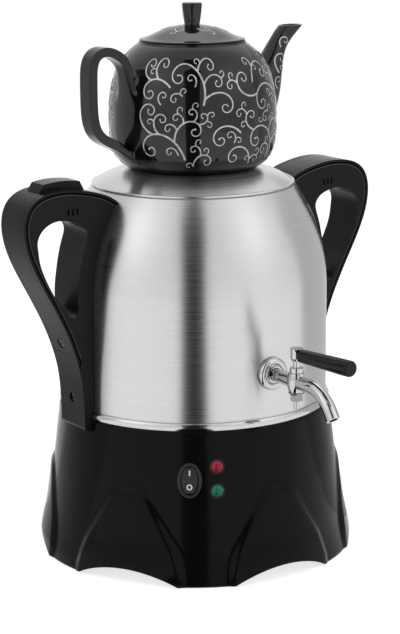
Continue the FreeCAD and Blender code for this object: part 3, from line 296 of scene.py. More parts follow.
def brushed_steel():
    """Steel with its grain running round the vertical axis"""
    made = Finish("brushed_steel", Metallic=1.0, Anisotropic=0.82, Anisotropic_Rotation=0.25)
    grain = made.noise((9, 9, 4200), 2.0)
    made.colours(made.noise((4, 4, 1500), 3.0), grey(0.555), grey(0.585))
    made.roughness(grain, 0.26, 0.33)
    made.bump(made.noise(7.0, 2.0), 0.03, made.bump(grain, 0.0012))
    round_axis = made.node("Tangent", direction_type="RADIAL", axis="Z")
    made.link(round_axis.outputs["Tangent"], made.shader.inputs["Tangent"])
    return made.material


def bright_metal(name, level, low, high, ripple):
    """Polished or plated metal with faint wipe marks"""
    made = Finish(name, Metallic=1.0)
    marks = made.noise(160.0, 4.0)
    made.colours(marks, grey(level * 0.96), grey(level))
    made.roughness(made.noise(420.0, 3.0), low, high)
    made.bump(marks, ripple)
    return made.material


def moulded(name, colour, low, high, grain_scale, grain_height, specular=0.5, wave=0.0):
    """Moulded plastic or rubber with a fine surface grain"""
    made = Finish(name, Specular_IOR_Level=specular)
    tone = made.noise(22.0, 4.0)
    made.colours(tone, shade(colour, 0.86), shade(colour, 1.12))
    grain = made.noise(grain_scale, 2.0)
    made.roughness(made.noise(55.0, 5.0), low, high)
    normal = made.bump(grain, grain_height)
    if wave:
        made.bump(made.noise(26.0, 1.0), wave, normal)
    return made.material


def glazed():
    """Black glaze, glossy, with the faint waviness of fired ware"""
    made = Finish("glazed_ceramic", Specular_IOR_Level=0.42)
    made.colours(made.noise(30.0, 4.0), grey(0.0030), grey(0.0050))
    made.roughness(made.noise(70.0, 4.0), 0.05, 0.10)
    made.bump(made.noise(38.0, 1.5), 0.06)
    return made.material


def silver_print():
    """Fired silver ornament with an uneven tone"""
    made = Finish("silver_print", Metallic=0.55)
    tone = made.noise(240.0, 4.0)
    made.colours(tone, grey(0.30), grey(0.56))
    made.roughness(tone, 0.34, 0.50)
    made.bump(made.noise(1500.0, 2.0), 0.01)
    return made.material


def tinted_lens(name, colour):
    """Tinted plastic lens that lets a little light through"""
    made = Finish(name, Specular_IOR_Level=0.25, Subsurface_Weight=0.25, Subsurface_Scale=0.003,
                  Subsurface_Radius=colour)
    made.colours(made.noise(700.0, 2.0), shade(colour, 0.7), colour)
    made.roughness(made.noise(300.0, 2.0), 0.10, 0.2)
    made.bump(made.noise(900.0, 1.0), 0.02)
    return made.material


def lamp_glass():
    """Clear glass of the small lamps"""
    made = Finish("lamp_glass", Transmission_Weight=0.85, IOR=1.47)
    made.colours(made.noise(300.0, 2.0), (0.82, 0.70, 0.62), (0.92, 0.84, 0.78))
    made.roughness(made.noise(200.0, 2.0), 0.05, 0.12)
    return made.material


FINISHES = {"brushed_steel": brushed_steel(), "glazed_ceramic": glazed(), "silver_print": silver_print(),
            "lamp_glass": lamp_glass()}
for make, rows in ((bright_metal, METALS), (moulded, MOULDINGS)):
    FINISHES.update({name: make(name, *values) for name, values in rows.items()})
FINISHES.update({name: tinted_lens(name, colour) for name, colour in LENSES.items()})

# Pieces that look different from the rest of their slot, and the width of the rounding of some edges
# The handles' screws take a darker steel, which paints the shade of the holes they sit in
OTHER_FINISHES = {"handle_screws": "dark_steel", "cover_screws": "dark_steel", "lamp_bezels": "rim_black",
                  "tap_nut": "dark_chrome", "tap_spring": "dark_chrome"}
SOFT_EDGES = {"left_handle": 1.1, "right_handle": 1.1, "left_handle_cover": 1.0, "right_handle_cover": 1.0,
              "thumb_button": 0.7}
SHARP_ANGLE = 38
WELD_DISTANCE = 0.02


def paint(obj, finish):
    """Give an object one finish"""
    obj.data.materials.clear()
    obj.data.materials.append(FINISHES[finish])


def dress(obj, body, slot, finish=None):
    """Finish a new piece and let it ride on its body"""
    paint(obj, finish or slot)
    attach(obj, body)


def soften_edges(obj, width):
    """Small rounding on the sharp edges of a moulded piece"""
    weld = obj.modifiers.new("weld", "WELD")
    weld.merge_threshold = WELD_DISTANCE * MM
    bevel = obj.modifiers.new("bevel", "BEVEL")
    bevel.width = width * MM
    bevel.segments = 3
    bevel.limit_method = "ANGLE"
    bevel.angle_limit = math.radians(SHARP_ANGLE)
    smooth = obj.modifiers.new("smooth", "WEIGHTED_NORMAL")
    smooth.keep_sharp = False


for row in frame["record"]["subparts"]:
    paint(nodes[row["node"]], row["material_slot"])
for name, finish in OTHER_FINISHES.items():
    paint(nodes[name], finish)
for name, width in SOFT_EDGES.items():
    soften_edges(nodes[name], width)


# Curves

def interpolate(points, at):
    """Second value at a first value, smoothly between points sorted by the first"""
    rows = sorted(points)
    at = min(max(at, rows[0][0]), rows[-1][0])
    i = 1
    while i < len(rows) - 1 and at > rows[i][0]:
        i += 1
    (x0, y0), (x1, y1) = rows[i - 1], rows[i]
    before = rows[i - 2] if i > 1 else (2 * x0 - x1, 2 * y0 - y1)
    after = rows[i + 1] if i + 1 < len(rows) else (2 * x1 - x0, 2 * y1 - y0)
    slope0 = (y1 - before[1]) / (x1 - before[0])
    slope1 = (after[1] - y0) / (after[0] - x0)
    width = x1 - x0
    t = (at - x0) / width
    return ((2 * t ** 3 - 3 * t ** 2 + 1) * y0 + (t ** 3 - 2 * t ** 2 + t) * width * slope0
            + (3 * t ** 2 - 2 * t ** 3) * y1 + (t ** 3 - t ** 2) * width * slope1)


def smoothstep(t):
    """Smooth rise from 0 to 1"""
    t = min(max(t, 0.0), 1.0)
    return t * t * (3 - 2 * t)


def left_sides(path):
    """Unit vectors to the left of a path at each of its points"""
    sides = []
    for i in range(len(path)):
        a = path[max(i - 1, 0)]
        b = path[min(i + 1, len(path) - 1)]
        length = math.hypot(b[0] - a[0], b[1] - a[1])
        sides.append((-(b[1] - a[1]) / length, (b[0] - a[0]) / length))
    return sides


# Base housing

PETAL_SAMPLES = [(interpolate(PETAL_WIDTHS, z / 2.0), z / 2.0) for z in range(142)]
PETAL_SAMPLES += [(i * 0.5, interpolate(PETAL_OUTLINE[:4], i * 0.5)) for i in range(27)]


def petal_share(along, z):
    """How far a point of the side lies inside a petal, from 0 outside to 1 inside"""
    half = abs(along)
    nearest = min(math.hypot(half - x, z - y) for x, y in PETAL_SAMPLES)
    inside = z < PETAL_OUTLINE[0][1] and half < interpolate(PETAL_WIDTHS, z)
    return smoothstep((nearest if inside else -nearest) / PETAL_EDGE + 0.5)


def petal_angle(angle):
    """Angle in radians from the middle of the nearest petal"""
    return math.radians((angle + PETAL_PITCH / 2) % PETAL_PITCH - PETAL_PITCH / 2)


def base_radius(angle, z):
    """Outer radius of the base at an angle in degrees from the tap"""
    plain = interpolate(BASE_SIDE, z)
    raised = interpolate(PETAL_SIDE, z)
    return plain + (raised - plain) * petal_share(petal_angle(angle) * raised, z)


def base_bottom(angle, radius):
    """Lowest point of the side at an angle, over the arch between two feet"""
    along = abs(math.sin(petal_angle(angle)) * radius)
    if along >= ARCH_HALF_WIDTH:
        return BASE_FOOT_Z
    rise = ARCH_HEIGHT + BASE_FOOT_Z
    arch_radius = (ARCH_HALF_WIDTH ** 2 + rise ** 2) / (2 * rise)
    return max(BASE_FOOT_Z, math.sqrt(arch_radius ** 2 - along ** 2) - (arch_radius - rise))


def make_base():
    """Moulded housing: one skin from the flange down to the feet, given its wall"""
    half_columns = BASE_COLUMNS // PETAL_COUNT // 2
    half_petal = []
    for c in range(half_columns + 1):
        angle = c * PETAL_PITCH / 2 / half_columns
        bottom = base_bottom(angle, interpolate(PETAL_SIDE, BASE_FOOT_Z))
        heights = [BASE_TOP_Z + (bottom - BASE_TOP_Z) * r / BASE_ROWS for r in range(BASE_ROWS + 1)]
        half_petal.append([(base_radius(angle, z), z) for z in heights])
    flange = [(FLANGE_HOLE_RADIUS, BASE_TOP_Z), (FLANGE_MIDDLE_RADIUS, BASE_TOP_Z),
              (BASE_TOP_RADIUS - BASE_EDGE, BASE_TOP_Z),
              (BASE_TOP_RADIUS - BASE_EDGE * 0.3, BASE_TOP_Z - BASE_EDGE * 0.3)]
    points = []
    for c in range(BASE_COLUMNS):
        step = c % (2 * half_columns)
        side = half_petal[min(step, 2 * half_columns - step)]
        out = direction(c * 360.0 / BASE_COLUMNS)
        points += [(out.x * radius, out.y * radius, z) for radius, z in flange + side[2:]]
    height = len(points) // BASE_COLUMNS
    faces = []
    for c in range(BASE_COLUMNS):
        a = c * height
        b = (c + 1) % BASE_COLUMNS * height
        faces += [(a + r, a + r + 1, b + r + 1, b + r) for r in range(height - 1)]
    housing = mesh_object("base_housing", points, faces)
    wall = housing.modifiers.new("wall", "SOLIDIFY")
    wall.thickness = BASE_WALL * MM
    wall.offset = -1
    wall.use_even_offset = True
    bake_modifiers(housing)
    return housing


def wall_place(azimuth, z):
    """Place on the upper wall: X along it, Y up it, Z outward"""
    out = direction(azimuth, math.degrees(WALL_LEAN))
    across = direction(azimuth + 90)
    up = out.cross(across)
    place = Matrix((across, up, out)).transposed().to_4x4()
    share = (BASE_TOP_Z - z) / (BASE_TOP_Z - WALL_LOW_Z)
    radius = BASE_TOP_RADIUS + (WALL_LOW_RADIUS - BASE_TOP_RADIUS) * share
    place.translation = direction(azimuth) * radius * MM + Vector((0, 0, z * MM))
    return place


def oval_points(half_width, half_height, count):
    turn = 2 * math.pi / count
    return [(half_width * math.cos(i * turn), half_height * math.sin(i * turn)) for i in range(count)]


def rectangle(half_width, half_height):
    return [(x * half_width, y * half_height) for x, y in ((-1, -1), (1, -1), (1, 1), (-1, 1))]


def prism(outline, low, high, place):
    """Closed bar with an outline in local millimetres, carried to its place"""
    points = [place @ Vector((x * MM, y * MM, z * MM)) / MM for z in (low, high) for x, y in outline]
    return points, bar(0, len(outline), 2)


def cut_holes(obj, holes):
    """Cut prisms out of an object"""
    for points, faces in holes:
        cutter = mesh_object("cutter", points, faces, smooth=False)
        cut = obj.modifiers.new("cut", "BOOLEAN")
        cut.operation = "DIFFERENCE"
        cut.solver = "EXACT"
        cut.object = cutter
        bake_modifiers(obj)
        bpy.data.objects.remove(cutter)


def base_holes():
    """Holes for the switch, the two lamps and the inlet"""
    holes = [(oval_points(*SWITCH_HOLE, 64), SWITCH_AZIMUTH, SWITCH_Z)]
    holes += [(oval_points(*LAMP_HOLE, 48), LAMP_AZIMUTH, z) for z in LAMP_HEIGHTS]
    holes.append((rectangle(*INLET_HOLE), INLET_AZIMUTH, INLET_Z))
    return [prism(outline, -HOLE_REACH, HOLE_REACH, wall_place(*spot)) for outline, *spot in holes]


housing = make_base()
cut_holes(housing, base_holes())
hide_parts("base_shell")
dress(housing, "root", "gloss_black")


# Teapot: a cage of faces, with the spout and the strap drawn out of it, then subdivided
# A side is a list of (radius, height), a station of the spout (reach, height, tilt, half height, half width)

POT_TURN = 3.0
POT_COLUMNS = 40
POT_BOTTOM_Z = 296.4
POT_FLOOR_Z = 298.4
POT_OUTSIDE = [(40.0, 296.4), (42.0, 295.0), (43.6, 294.35), (46.8, 294.35), (49.4, 295.4), (54.5, 298.6),
               (58.4, 303.4), (61.2, 310.0), (62.7, 317.5), (63.2, 325.5), (63.2, 333.5), (63.05, 341.5),
               (62.3, 349.5), (60.8, 357.5), (58.4, 366.0), (54.4, 374.2), (49.4, 380.6), (44.0, 385.4),
               (40.9, 387.6), (40.3, 388.4), (40.0, 389.2), (39.2, 389.5)]
POT_INSIDE = [(37.4, 389.5), (36.6, 388.9), (36.5, 387.6), (36.6, 384.6), (39.5, 382.0), (47.0, 376.4),
              (53.0, 367.0), (57.2, 353.0), (59.1, 338.0), (59.2, 323.0), (57.2, 309.0), (52.0, 301.6),
              (44.0, 298.9), (30.0, 298.4)]
SPOUT_ROWS = (8, 15)
SPOUT_HALF_COLUMNS = 2
SPOUT_STATIONS = [(68.4, 347.6, 27.0, 20.0, 13.6), (73.5, 357.5, 30.0, 15.8, 12.2),
                  (77.0, 368.8, 34.4, 10.9, 10.2), (80.9, 378.5, 40.8, 8.0, 7.8),
                  (86.0, 386.8, 45.0, 7.0, 6.9)]
SPOUT_TIP = (95.6, 395.6, 50.0, 8.1, 7.6)
SPOUT_TIP_Z = 395.6
SPOUT_SHELL = 2.4
SPOUT_LIP = [(0.0, 2.0), (0.0, 0.5), (0.7, 0.0), (SPOUT_SHELL - 0.7, 0.0), (SPOUT_SHELL, 0.5),
             (SPOUT_SHELL, 2.0)]
STRAP_TOP_ROWS = (13, 15)
STRAP_LOW_ROWS = (6, 8)
STRAP_HALF_COLUMNS = 1
STRAP_WIDTH = 13.0
STRAP_THICKNESS = 7.0
STRAP_CREASE = 0.62
STRAP_PATH = [(63.0, 376.4), (69.0, 381.4), (75.6, 385.2), (82.4, 386.6), (88.4, 384.8), (92.2, 380.4),
              (93.7, 374.0), (94.0, 366.0), (94.0, 356.0), (93.9, 346.0), (93.2, 336.8), (91.0, 329.4),
              (86.8, 324.0), (80.6, 320.4), (74.0, 317.4), (68.0, 314.4)]


def cage_profile(targets):
    """Control points whose subdivided curve passes through the targets"""
    control = [list(p) for p in targets]
    for _ in range(40):
        for i in range(1, len(control) - 1):
            for k in (0, 1):
                limit = (control[i - 1][k] + 4 * control[i][k] + control[i + 1][k]) / 6
                control[i][k] += (targets[i][k] - limit) * 0.8
    return control


def ring_offset(columns):
    """How much larger a control ring is than its subdivided circle"""
    return 3 / (2 + math.cos(2 * math.pi / columns))


def region_loop(grid, rows, middle, half):
    """Vertices round a block of faces, counter-clockwise seen from outside, from its lower right corner"""
    low, high = rows
    count = len(grid[0])
    columns = [(middle + c) % count for c in range(-half, half + 1)]
    loop = [grid[r][columns[-1]] for r in range(low, high)]
    loop += [grid[high][c] for c in reversed(columns[1:])]
    loop += [grid[r][columns[0]] for r in range(high, low, -1)]
    loop += [grid[low][c] for c in columns[:-1]]
    return loop


def open_region(mesh, grid, rows, middle, half):
    """Delete a block of faces and return the loop round it"""
    count = len(grid[0])
    doomed = []
    for r in range(*rows):
        for c in range(middle - half, middle + half):
            corner = grid[r][c % count]
            others = (grid[r][(c + 1) % count], grid[r + 1][c % count])
            doomed += [f for f in corner.link_faces if all(v in f.verts for v in others)]
    bmesh.ops.delete(mesh, geom=doomed, context="FACES_ONLY")
    return region_loop(grid, rows, middle, half)


def bridge(mesh, first, second):
    """Faces between two loops of as many vertices"""
    count = len(first)
    for i in range(count):
        mesh.faces.new((first[i], first[(i + 1) % count], second[(i + 1) % count], second[i]))


def close_loop(mesh, loop, middle):
    """Fan of faces from a loop to a point"""
    end = mesh.verts.new(middle)
    for i in range(len(loop)):
        mesh.faces.new((loop[i], loop[(i + 1) % len(loop)], end))


def loop_angles(loop):
    """Angle of each vertex of a loop round its middle, with both half sizes made equal"""
    middle = sum((v.co for v in loop), Vector()) / len(loop)
    side = [(v.co - middle).y for v in loop]
    rise = [v.co.z - middle.z for v in loop]
    width = max(abs(s) for s in side)
    height = max(abs(r) for r in rise)
    return [math.atan2(r / height, s / width) for s, r in zip(side, rise)]


def spout_ring(mesh, station, angles, inset):
    """Oval ring of the spout"""
    reach, height, tilt, tall, wide = station
    a = math.radians(tilt)
    up = Vector((-math.sin(a), 0, math.cos(a)))
    centre = Vector((reach, 0, height))
    ring = []
    for angle in angles:
        across = Vector((0, 1, 0)) * (math.cos(angle) * (wide - inset))
        ring.append(mesh.verts.new((centre + (across + up * (math.sin(angle) * (tall - inset)))) * MM))
    return ring


def level_ring(mesh, station, angles, inset, z):
    """Ring of the spout cut off level"""
    ring = spout_ring(mesh, station, angles, inset)
    a = math.radians(station[2])
    along = Vector((math.cos(a), 0, math.sin(a)))
    for v in ring:
        v.co += along * ((z * MM - v.co.z) / along.z)
    return ring


def add_spout(mesh, outer_grid):
    """Spout drawn out of the body, turned in at its tip and hollow down to the body's wall"""
    loop = open_region(mesh, outer_grid, SPOUT_ROWS, 0, SPOUT_HALF_COLUMNS)
    angles = loop_angles(loop)
    rings = [loop]
    rings += [spout_ring(mesh, station, angles, 0) for station in SPOUT_STATIONS]
    rings += [level_ring(mesh, SPOUT_TIP, angles, inset, SPOUT_TIP_Z - drop) for inset, drop in SPOUT_LIP]
    rings += [spout_ring(mesh, station, angles, SPOUT_SHELL) for station in reversed(SPOUT_STATIONS)]
    for first, second in zip(rings, rings[1:]):
        bridge(mesh, first, second)
    close_loop(mesh, rings[-1], sum((v.co for v in rings[-1]), Vector()) / len(rings[-1]))


def add_strap(mesh, outer_grid):
    """Flat strap from the upper root round to the lower root"""
    middle = POT_COLUMNS // 2
    top = open_region(mesh, outer_grid, STRAP_TOP_ROWS, middle, STRAP_HALF_COLUMNS)
    low = open_region(mesh, outer_grid, STRAP_LOW_ROWS, middle, STRAP_HALF_COLUMNS)
    crease = mesh.edges.layers.float.new("crease_edge")
    half = STRAP_WIDTH / 2
    thick = STRAP_THICKNESS / 2
    section = [(half, -thick), (half, 0), (half, thick), (0, thick), (-half, thick), (-half, 0),
               (-half, -thick), (0, -thick)]
    count = len(section)
    rings = [top]
    for (reach, height), (along, up) in zip(STRAP_PATH, left_sides(STRAP_PATH)):
        ring = []
        for across, out in section:
            place = Vector((-reach, -across, height)) + Vector((-along, 0, up)) * out
            ring.append(mesh.verts.new(place * MM))
        bridge(mesh, rings[-1], ring)
        if len(rings) > 1:
            for k in range(0, count, 2):
                mesh.edges.get((rings[-1][k], ring[k]))[crease] = STRAP_CREASE
        rings.append(ring)
    last = rings[-1]
    turned = low[4:] + low[:4]
    flipped = [turned[(4 - i) % count] for i in range(count)]
    turns = [[flipped[(i + s) % count] for i in range(count)] for s in range(count)]
    bridge(mesh, last, min(turns, key=lambda loop: sum((a.co - b.co).length for a, b in zip(last, loop))))


def make_pot():
    """Body, spout and strap in one closed mesh"""
    mesh = bmesh.new()
    profile = cage_profile([(20.0, POT_BOTTOM_Z)] + POT_OUTSIDE + POT_INSIDE + [(15.0, POT_FLOOR_Z)])
    widen = ring_offset(POT_COLUMNS)
    grid = []
    for radius, z in profile:
        ring = []
        for c in range(POT_COLUMNS):
            a = 2 * math.pi * c / POT_COLUMNS
            place = Vector((math.cos(a) * radius * widen, math.sin(a) * radius * widen, z))
            ring.append(mesh.verts.new(place * MM))
        grid.append(ring)
    for first, second in zip(grid, grid[1:]):
        bridge(mesh, first, second)
    close_loop(mesh, grid[0], (0, 0, POT_BOTTOM_Z * MM))
    close_loop(mesh, grid[-1], (0, 0, POT_FLOOR_Z * MM))
    add_spout(mesh, grid)
    add_strap(mesh, grid)
    bmesh.ops.recalc_face_normals(mesh, faces=mesh.faces)
    turn = Matrix.Rotation(math.radians(POT_TURN), 3, "Z")
    bmesh.ops.rotate(mesh, verts=mesh.verts, cent=(0, 0, 0), matrix=turn)
    data = bpy.data.meshes.new("teapot_body")
    mesh.to_mesh(data)
    mesh.free()
    pot = make_object("teapot_body", data)
    rounded = pot.modifiers.new("rounded", "SUBSURF")
    rounded.levels = rounded.render_levels = 3
    bake_modifiers(pot)
    smooth_faces(pot.data)
    return pot


pot = make_pot()
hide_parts("teapot")
dress(pot, "teapot", "glazed_ceramic")


# Teapot lid and tap flange, both turned from a profile of (radius, height)

LID_PROFILE = [(6.2, 417.4), (7.1, 417.2), (7.5, 416.7), (7.6, 415.9), (7.3, 412.0), (6.8, 408.0),
               (6.2, 404.0), (5.8, 401.9), (5.9, 401.3), (6.8, 400.9), (9.5, 400.7), (13.0, 400.1),
               (17.0, 399.1), (22.0, 397.5), (27.0, 395.4), (31.5, 393.3), (35.0, 391.9), (37.5, 391.2),
               (38.9, 391.0), (39.5, 390.7), (39.7, 390.3), (39.5, 389.9), (39.1, 389.8), (36.0, 389.8),
               (35.7, 389.5), (35.7, 383.2), (35.3, 382.8), (33.1, 382.8), (32.7, 383.2), (32.7, 389.4),
               (30.0, 391.0), (22.0, 394.1), (12.0, 396.2)]
HUB_RADIUS = 6.15
FLANGE_PROFILE = [(12.2, 0.0), (12.2, 0.8), (11.9, 1.5), (11.2, 2.3), (10.2, 2.9), (9.1, 3.1), (8.2, 2.8),
                  (7.6, 2.2), (7.2, 1.5), (6.7, 1.2), (6.3, 1.4), (6.1, 2.0), (5.9, 3.0), (5.6, 3.5),
                  (5.1, 3.6), (HUB_RADIUS, 3.6), (HUB_RADIUS, 0.0)]
FLANGE_BACK_Y = -103.2
TAP_Z = 153.8


def turned_piece(name, profile, columns, ring=False):
    """Closed piece turned round the vertical axis: a ring, or solid from its top to its lower middle"""
    turns = [2 * math.pi * c / columns for c in range(columns)]
    points = [(math.cos(a) * r, math.sin(a) * r, z) for r, z in profile for a in turns]
    faces = bar(0, columns, len(profile))
    if ring:
        faces = faces[2:] + band((len(profile) - 1) * columns, 0, columns)
    made = mesh_object(name, points, faces)
    made.data.set_sharp_from_angle(angle=math.radians(40))
    outward_normals(made)
    return made


pot_lid = turned_piece("teapot_lid_dome", LID_PROFILE, 96)
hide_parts("teapot_lid")
dress(pot_lid, "teapot_lid", "glazed_ceramic")

flange = turned_piece("tap_flange_dome", FLANGE_PROFILE, 72, ring=True)
stand = Matrix.Translation((0, FLANGE_BACK_Y * MM, TAP_Z * MM)) @ Matrix.Rotation(math.radians(90), 4, "X")
flange.data.transform(stand)
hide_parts("tap_flange")
dress(flange, "root", "chrome")


# Silver scrollwork on the teapot, laid out on flat sheets

CURL_STEP = 0.7
CURL_CLEAR = 2.8
CURL_LIFT = 0.2
CURL_SINK = 0.5
CURL_TIGHTENING = 1.5
CURL_TAPER = 0.5
# Length, radius at the root, radius at the end and width of each size of curl
CURL_SIZES = [(70.0, 31.0, 2.2, 1.5), (48.0, 18.0, 2.0, 1.35), (32.0, 11.0, 1.75, 1.2),
              (19.0, 6.4, 1.4, 1.05), (10.0, 3.4, 1.1, 0.9)]
# A branch may touch its stem over this length; where it leaves the stem, and at how many degrees
BRANCH_ROOT = 6.0
BRANCH_SPAN = (0.06, 0.62)
BRANCH_TURN = (24, 48)
STEM_LEAN = 70
DOT_SIDES = 12
DOT_SHARE = 1.05
DOT_RINGS = ((1.0, -CURL_SINK), (1.0, CURL_LIFT), (0.7, CURL_LIFT * 1.6))
POT_BAND_LOW = 301.5
POT_BAND_HIGH = 381.0
POT_BAND_END = 183.0
POT_GIRTH_RADIUS = 63.2
# Room kept free beside the spout, which narrows below a height
SPOUT_ROOM = 26.0
SPOUT_ROOM_Z = 330.0
SPOUT_ROOM_SLOPE = 0.7
# Place along the girth, height, lean and side of the large stems, the same on both sides
POT_STEMS = [(38, 306, 12, 1), (66, 304, -8, -1), (92, 318, 20, 1), (118, 304, -6, 1),
             (146, 308, 14, -1), (170, 306, -4, 1), (52, 345, 24, -1), (132, 348, -18, -1)]
SPOUT_TOP = [(346.0, 69.0), (371.0, 69.0), (377.5, 73.5), (384.0, 78.5), (392.0, 85.0)]
SPOUT_LOW = [(346.0, 77.5), (360.0, 80.5), (373.0, 83.0), (382.5, 87.5), (392.0, 94.0)]
SPOUT_BAND = (347.0, 391.0)
LID_BAND = (11.0, 34.5)
LID_STEMS = 6
LID_STEM_RADIUS = 16


def curl_path(start, heading, length, root, end, side):
    """Points and headings of a stem that winds tighter towards its end"""
    x, y = start
    count = int(length / CURL_STEP)
    path = []
    for i in range(count + 1):
        path.append((x, y, heading))
        heading += side * CURL_STEP / (root * (1 - i / count) ** CURL_TIGHTENING + end)
        x += math.cos(heading) * CURL_STEP
        y += math.sin(heading) * CURL_STEP
    return path


class Scroll:
    """Curls laid out on a flat sheet, each kept clear of the ones before it"""

    def __init__(self, seed, allowed):
        self.chance = random.Random(seed)
        self.allowed = allowed
        self.cells = {}
        self.curls = []

    def is_clear(self, x, y):
        """Whether a point keeps its distance from every curl"""
        cx = math.floor(x / CURL_CLEAR)
        cy = math.floor(y / CURL_CLEAR)
        near = [p for i in (-1, 0, 1) for j in (-1, 0, 1) for p in self.cells.get((cx + i, cy + j), ())]
        return all(math.hypot(px - x, py - y) >= CURL_CLEAR for px, py in near)

    def draw(self, start, heading, size, side, joined):
        """Add one curl if there is room for it"""
        length, root, end, width = CURL_SIZES[size]
        path = curl_path(start, heading, length, root, end, side)
        for i, (x, y, _) in enumerate(path):
            if not self.allowed(x, y):
                return
            if (i * CURL_STEP > BRANCH_ROOT or not joined) and not self.is_clear(x, y):
                return
        for x, y, _ in path:
            cell = (math.floor(x / CURL_CLEAR), math.floor(y / CURL_CLEAR))
            self.cells.setdefault(cell, []).append((x, y))
        self.curls.append((path, size, side, width))

    def branch(self, tries):
        """Smaller curls that leave the outer side of the ones already there"""
        smallest = len(CURL_SIZES) - 1
        for path, size, side, _ in self.curls:
            if size == smallest:
                continue
            for _ in range(tries):
                x, y, heading = path[int(self.chance.uniform(*BRANCH_SPAN) * (len(path) - 1))]
                smaller = min(size + 1 + int(self.chance.random() * 2), smallest)
                turn = math.radians(self.chance.uniform(*BRANCH_TURN))
                self.draw((x, y), heading - side * turn, smaller, -side, True)

    def scatter(self, size, count, left, right, low, high):
        """New stems at chance places, mostly growing upward"""
        for _ in range(count):
            start = (self.chance.uniform(left, right), self.chance.uniform(low, high))
            heading = math.radians(90 + self.chance.uniform(-STEM_LEAN, STEM_LEAN))
            self.draw(start, heading, size, self.chance.choice((-1, 1)), False)


def surface_tree(obj):
    """Search tree of an object's faces in the row frame"""
    points = [obj.matrix_world @ v.co for v in obj.data.vertices]
    return BVHTree.FromPolygons(points, [tuple(f.vertices) for f in obj.data.polygons])


FLAT_BAND = [(-1, -CURL_SINK), (-1, CURL_LIFT), (1, CURL_LIFT), (1, -CURL_SINK)]


def add_ribbon(points, faces, places, widths, section):
    """Thin band with a section of (share of half width, lift) along places on a surface"""
    first = len(points)
    count = len(places)
    for i, (at, normal) in enumerate(places):
        along = places[min(i + 1, count - 1)][0] - places[max(i - 1, 0)][0]
        side = normal.cross(along).normalized() * (widths[i] / 2 * MM)
        for across, lift in section:
            points.append((at + side * across + normal * (lift * MM)) / MM)
    faces += bar(first, len(section), count)


def add_dot(points, faces, place, radius):
    """Low round stud on a surface"""
    at, normal = place
    across = normal.orthogonal().normalized()
    upward = normal.cross(across)
    first = len(points)
    for size, lift in DOT_RINGS:
        for i in range(DOT_SIDES):
            a = 2 * math.pi * i / DOT_SIDES
            offset = (across * math.cos(a) + upward * math.sin(a)) * (radius * size * MM)
            points.append((at + offset + normal * (lift * MM)) / MM)
    faces += bar(first, DOT_SIDES, len(DOT_RINGS))


def lay_curls(scroll, surface, points, faces):
    """Carry the curls of a sheet to a surface"""
    for path, _, _, width in scroll.curls:
        places = [surface(x, y) for x, y, _ in path]
        if None in places:
            continue
        widths = [width * (1 - CURL_TAPER * i / len(places)) for i in range(len(places))]
        add_ribbon(points, faces, places, widths, FLAT_BAND)
        add_dot(points, faces, places[-1], widths[-1] * DOT_SHARE)


def pot_sheet(tree):
    """Function that carries a point of the flat sheet to the side of the pot"""
    side = [(z, r) for r, z in POT_OUTSIDE if POT_BAND_LOW - 8 < z < POT_BAND_HIGH + 6]
    turn = math.radians(POT_TURN)

    def place(x, y):
        radius = interpolate(side, y)
        a = x / POT_GIRTH_RADIUS + turn
        at, normal, _, _ = tree.find_nearest(Vector((math.cos(a) * radius, math.sin(a) * radius, y)) * MM)
        return at, normal
    return place


def struck(tree, start, way):
    """Point and normal where a ray meets a surface, or nothing"""
    at, normal, _, _ = tree.ray_cast(start, way)
    return (at, normal) if at else None


def spout_sheet(tree, side):
    """Function that carries a point of the flat sheet to one side of the spout"""
    turn = Matrix.Rotation(math.radians(POT_TURN), 3, "Z")

    def place(x, y):
        return struck(tree, turn @ Vector((x, side * 40.0, y)) * MM, turn @ Vector((0, -side, 0)))
    return place


def lid_sheet(tree):
    """Function that carries a point of the flat sheet to the top of the teapot's lid"""
    def place(x, y):
        return struck(tree, Vector((x, y, 440.0)) * MM, Vector((0, 0, -1)))
    return place


def pot_allowed(x, y):
    """Side of the pot between its spout and its strap"""
    room = SPOUT_ROOM - max(0.0, SPOUT_ROOM_Z - y) * SPOUT_ROOM_SLOPE
    return POT_BAND_LOW < y < POT_BAND_HIGH and room < abs(x) < POT_BAND_END


def spout_allowed(x, y):
    """Side of the spout, clear of its contours and its mouth"""
    low, high = SPOUT_BAND
    return low < y < high and interpolate(SPOUT_TOP, y) < x < interpolate(SPOUT_LOW, y)


def lid_allowed(x, y):
    """Lid between its knob and its rim"""
    return LID_BAND[0] < math.hypot(x, y) < LID_BAND[1]


def pot_scroll():
    """Scrollwork of the pot's sides"""
    scroll = Scroll(11, pot_allowed)
    for panel in (-1, 1):
        for along, low, lean, side in POT_STEMS:
            scroll.draw((panel * along, low), math.radians(90 - panel * lean), 0, side * panel, False)
    scroll.branch(14)
    for size in (1, 2, 3):
        scroll.scatter(size, 900, -POT_BAND_END, POT_BAND_END, POT_BAND_LOW, POT_BAND_HIGH - 8)
        scroll.branch(8)
    return scroll


def spout_scroll():
    """Scrollwork of one side of the spout"""
    scroll = Scroll(5, spout_allowed)
    for size in (2, 3, 4):
        scroll.scatter(size, 500, 68, 94, 347, 388)
        scroll.branch(6)
    return scroll


def lid_scroll():
    """Scrollwork on the teapot's lid"""
    scroll = Scroll(8, lid_allowed)
    for i in range(LID_STEMS):
        a = math.radians(360 // LID_STEMS * i + 10)
        start = (LID_STEM_RADIUS * math.cos(a), LID_STEM_RADIUS * math.sin(a))
        scroll.draw(start, a + 0.2, 3, 1, False)
    scroll.branch(3)
    return scroll


def add_print(name, body, sheets):
    """Scrollwork of one body, from pairs of a scroll and the surface it is carried to"""
    points = []
    faces = []
    for scroll, surface in sheets:
        lay_curls(scroll, surface, points, faces)
    work = mesh_object(name, points, faces, smooth=False)
    outward_normals(work)
    dress(work, body, "glazed_ceramic", "silver_print")


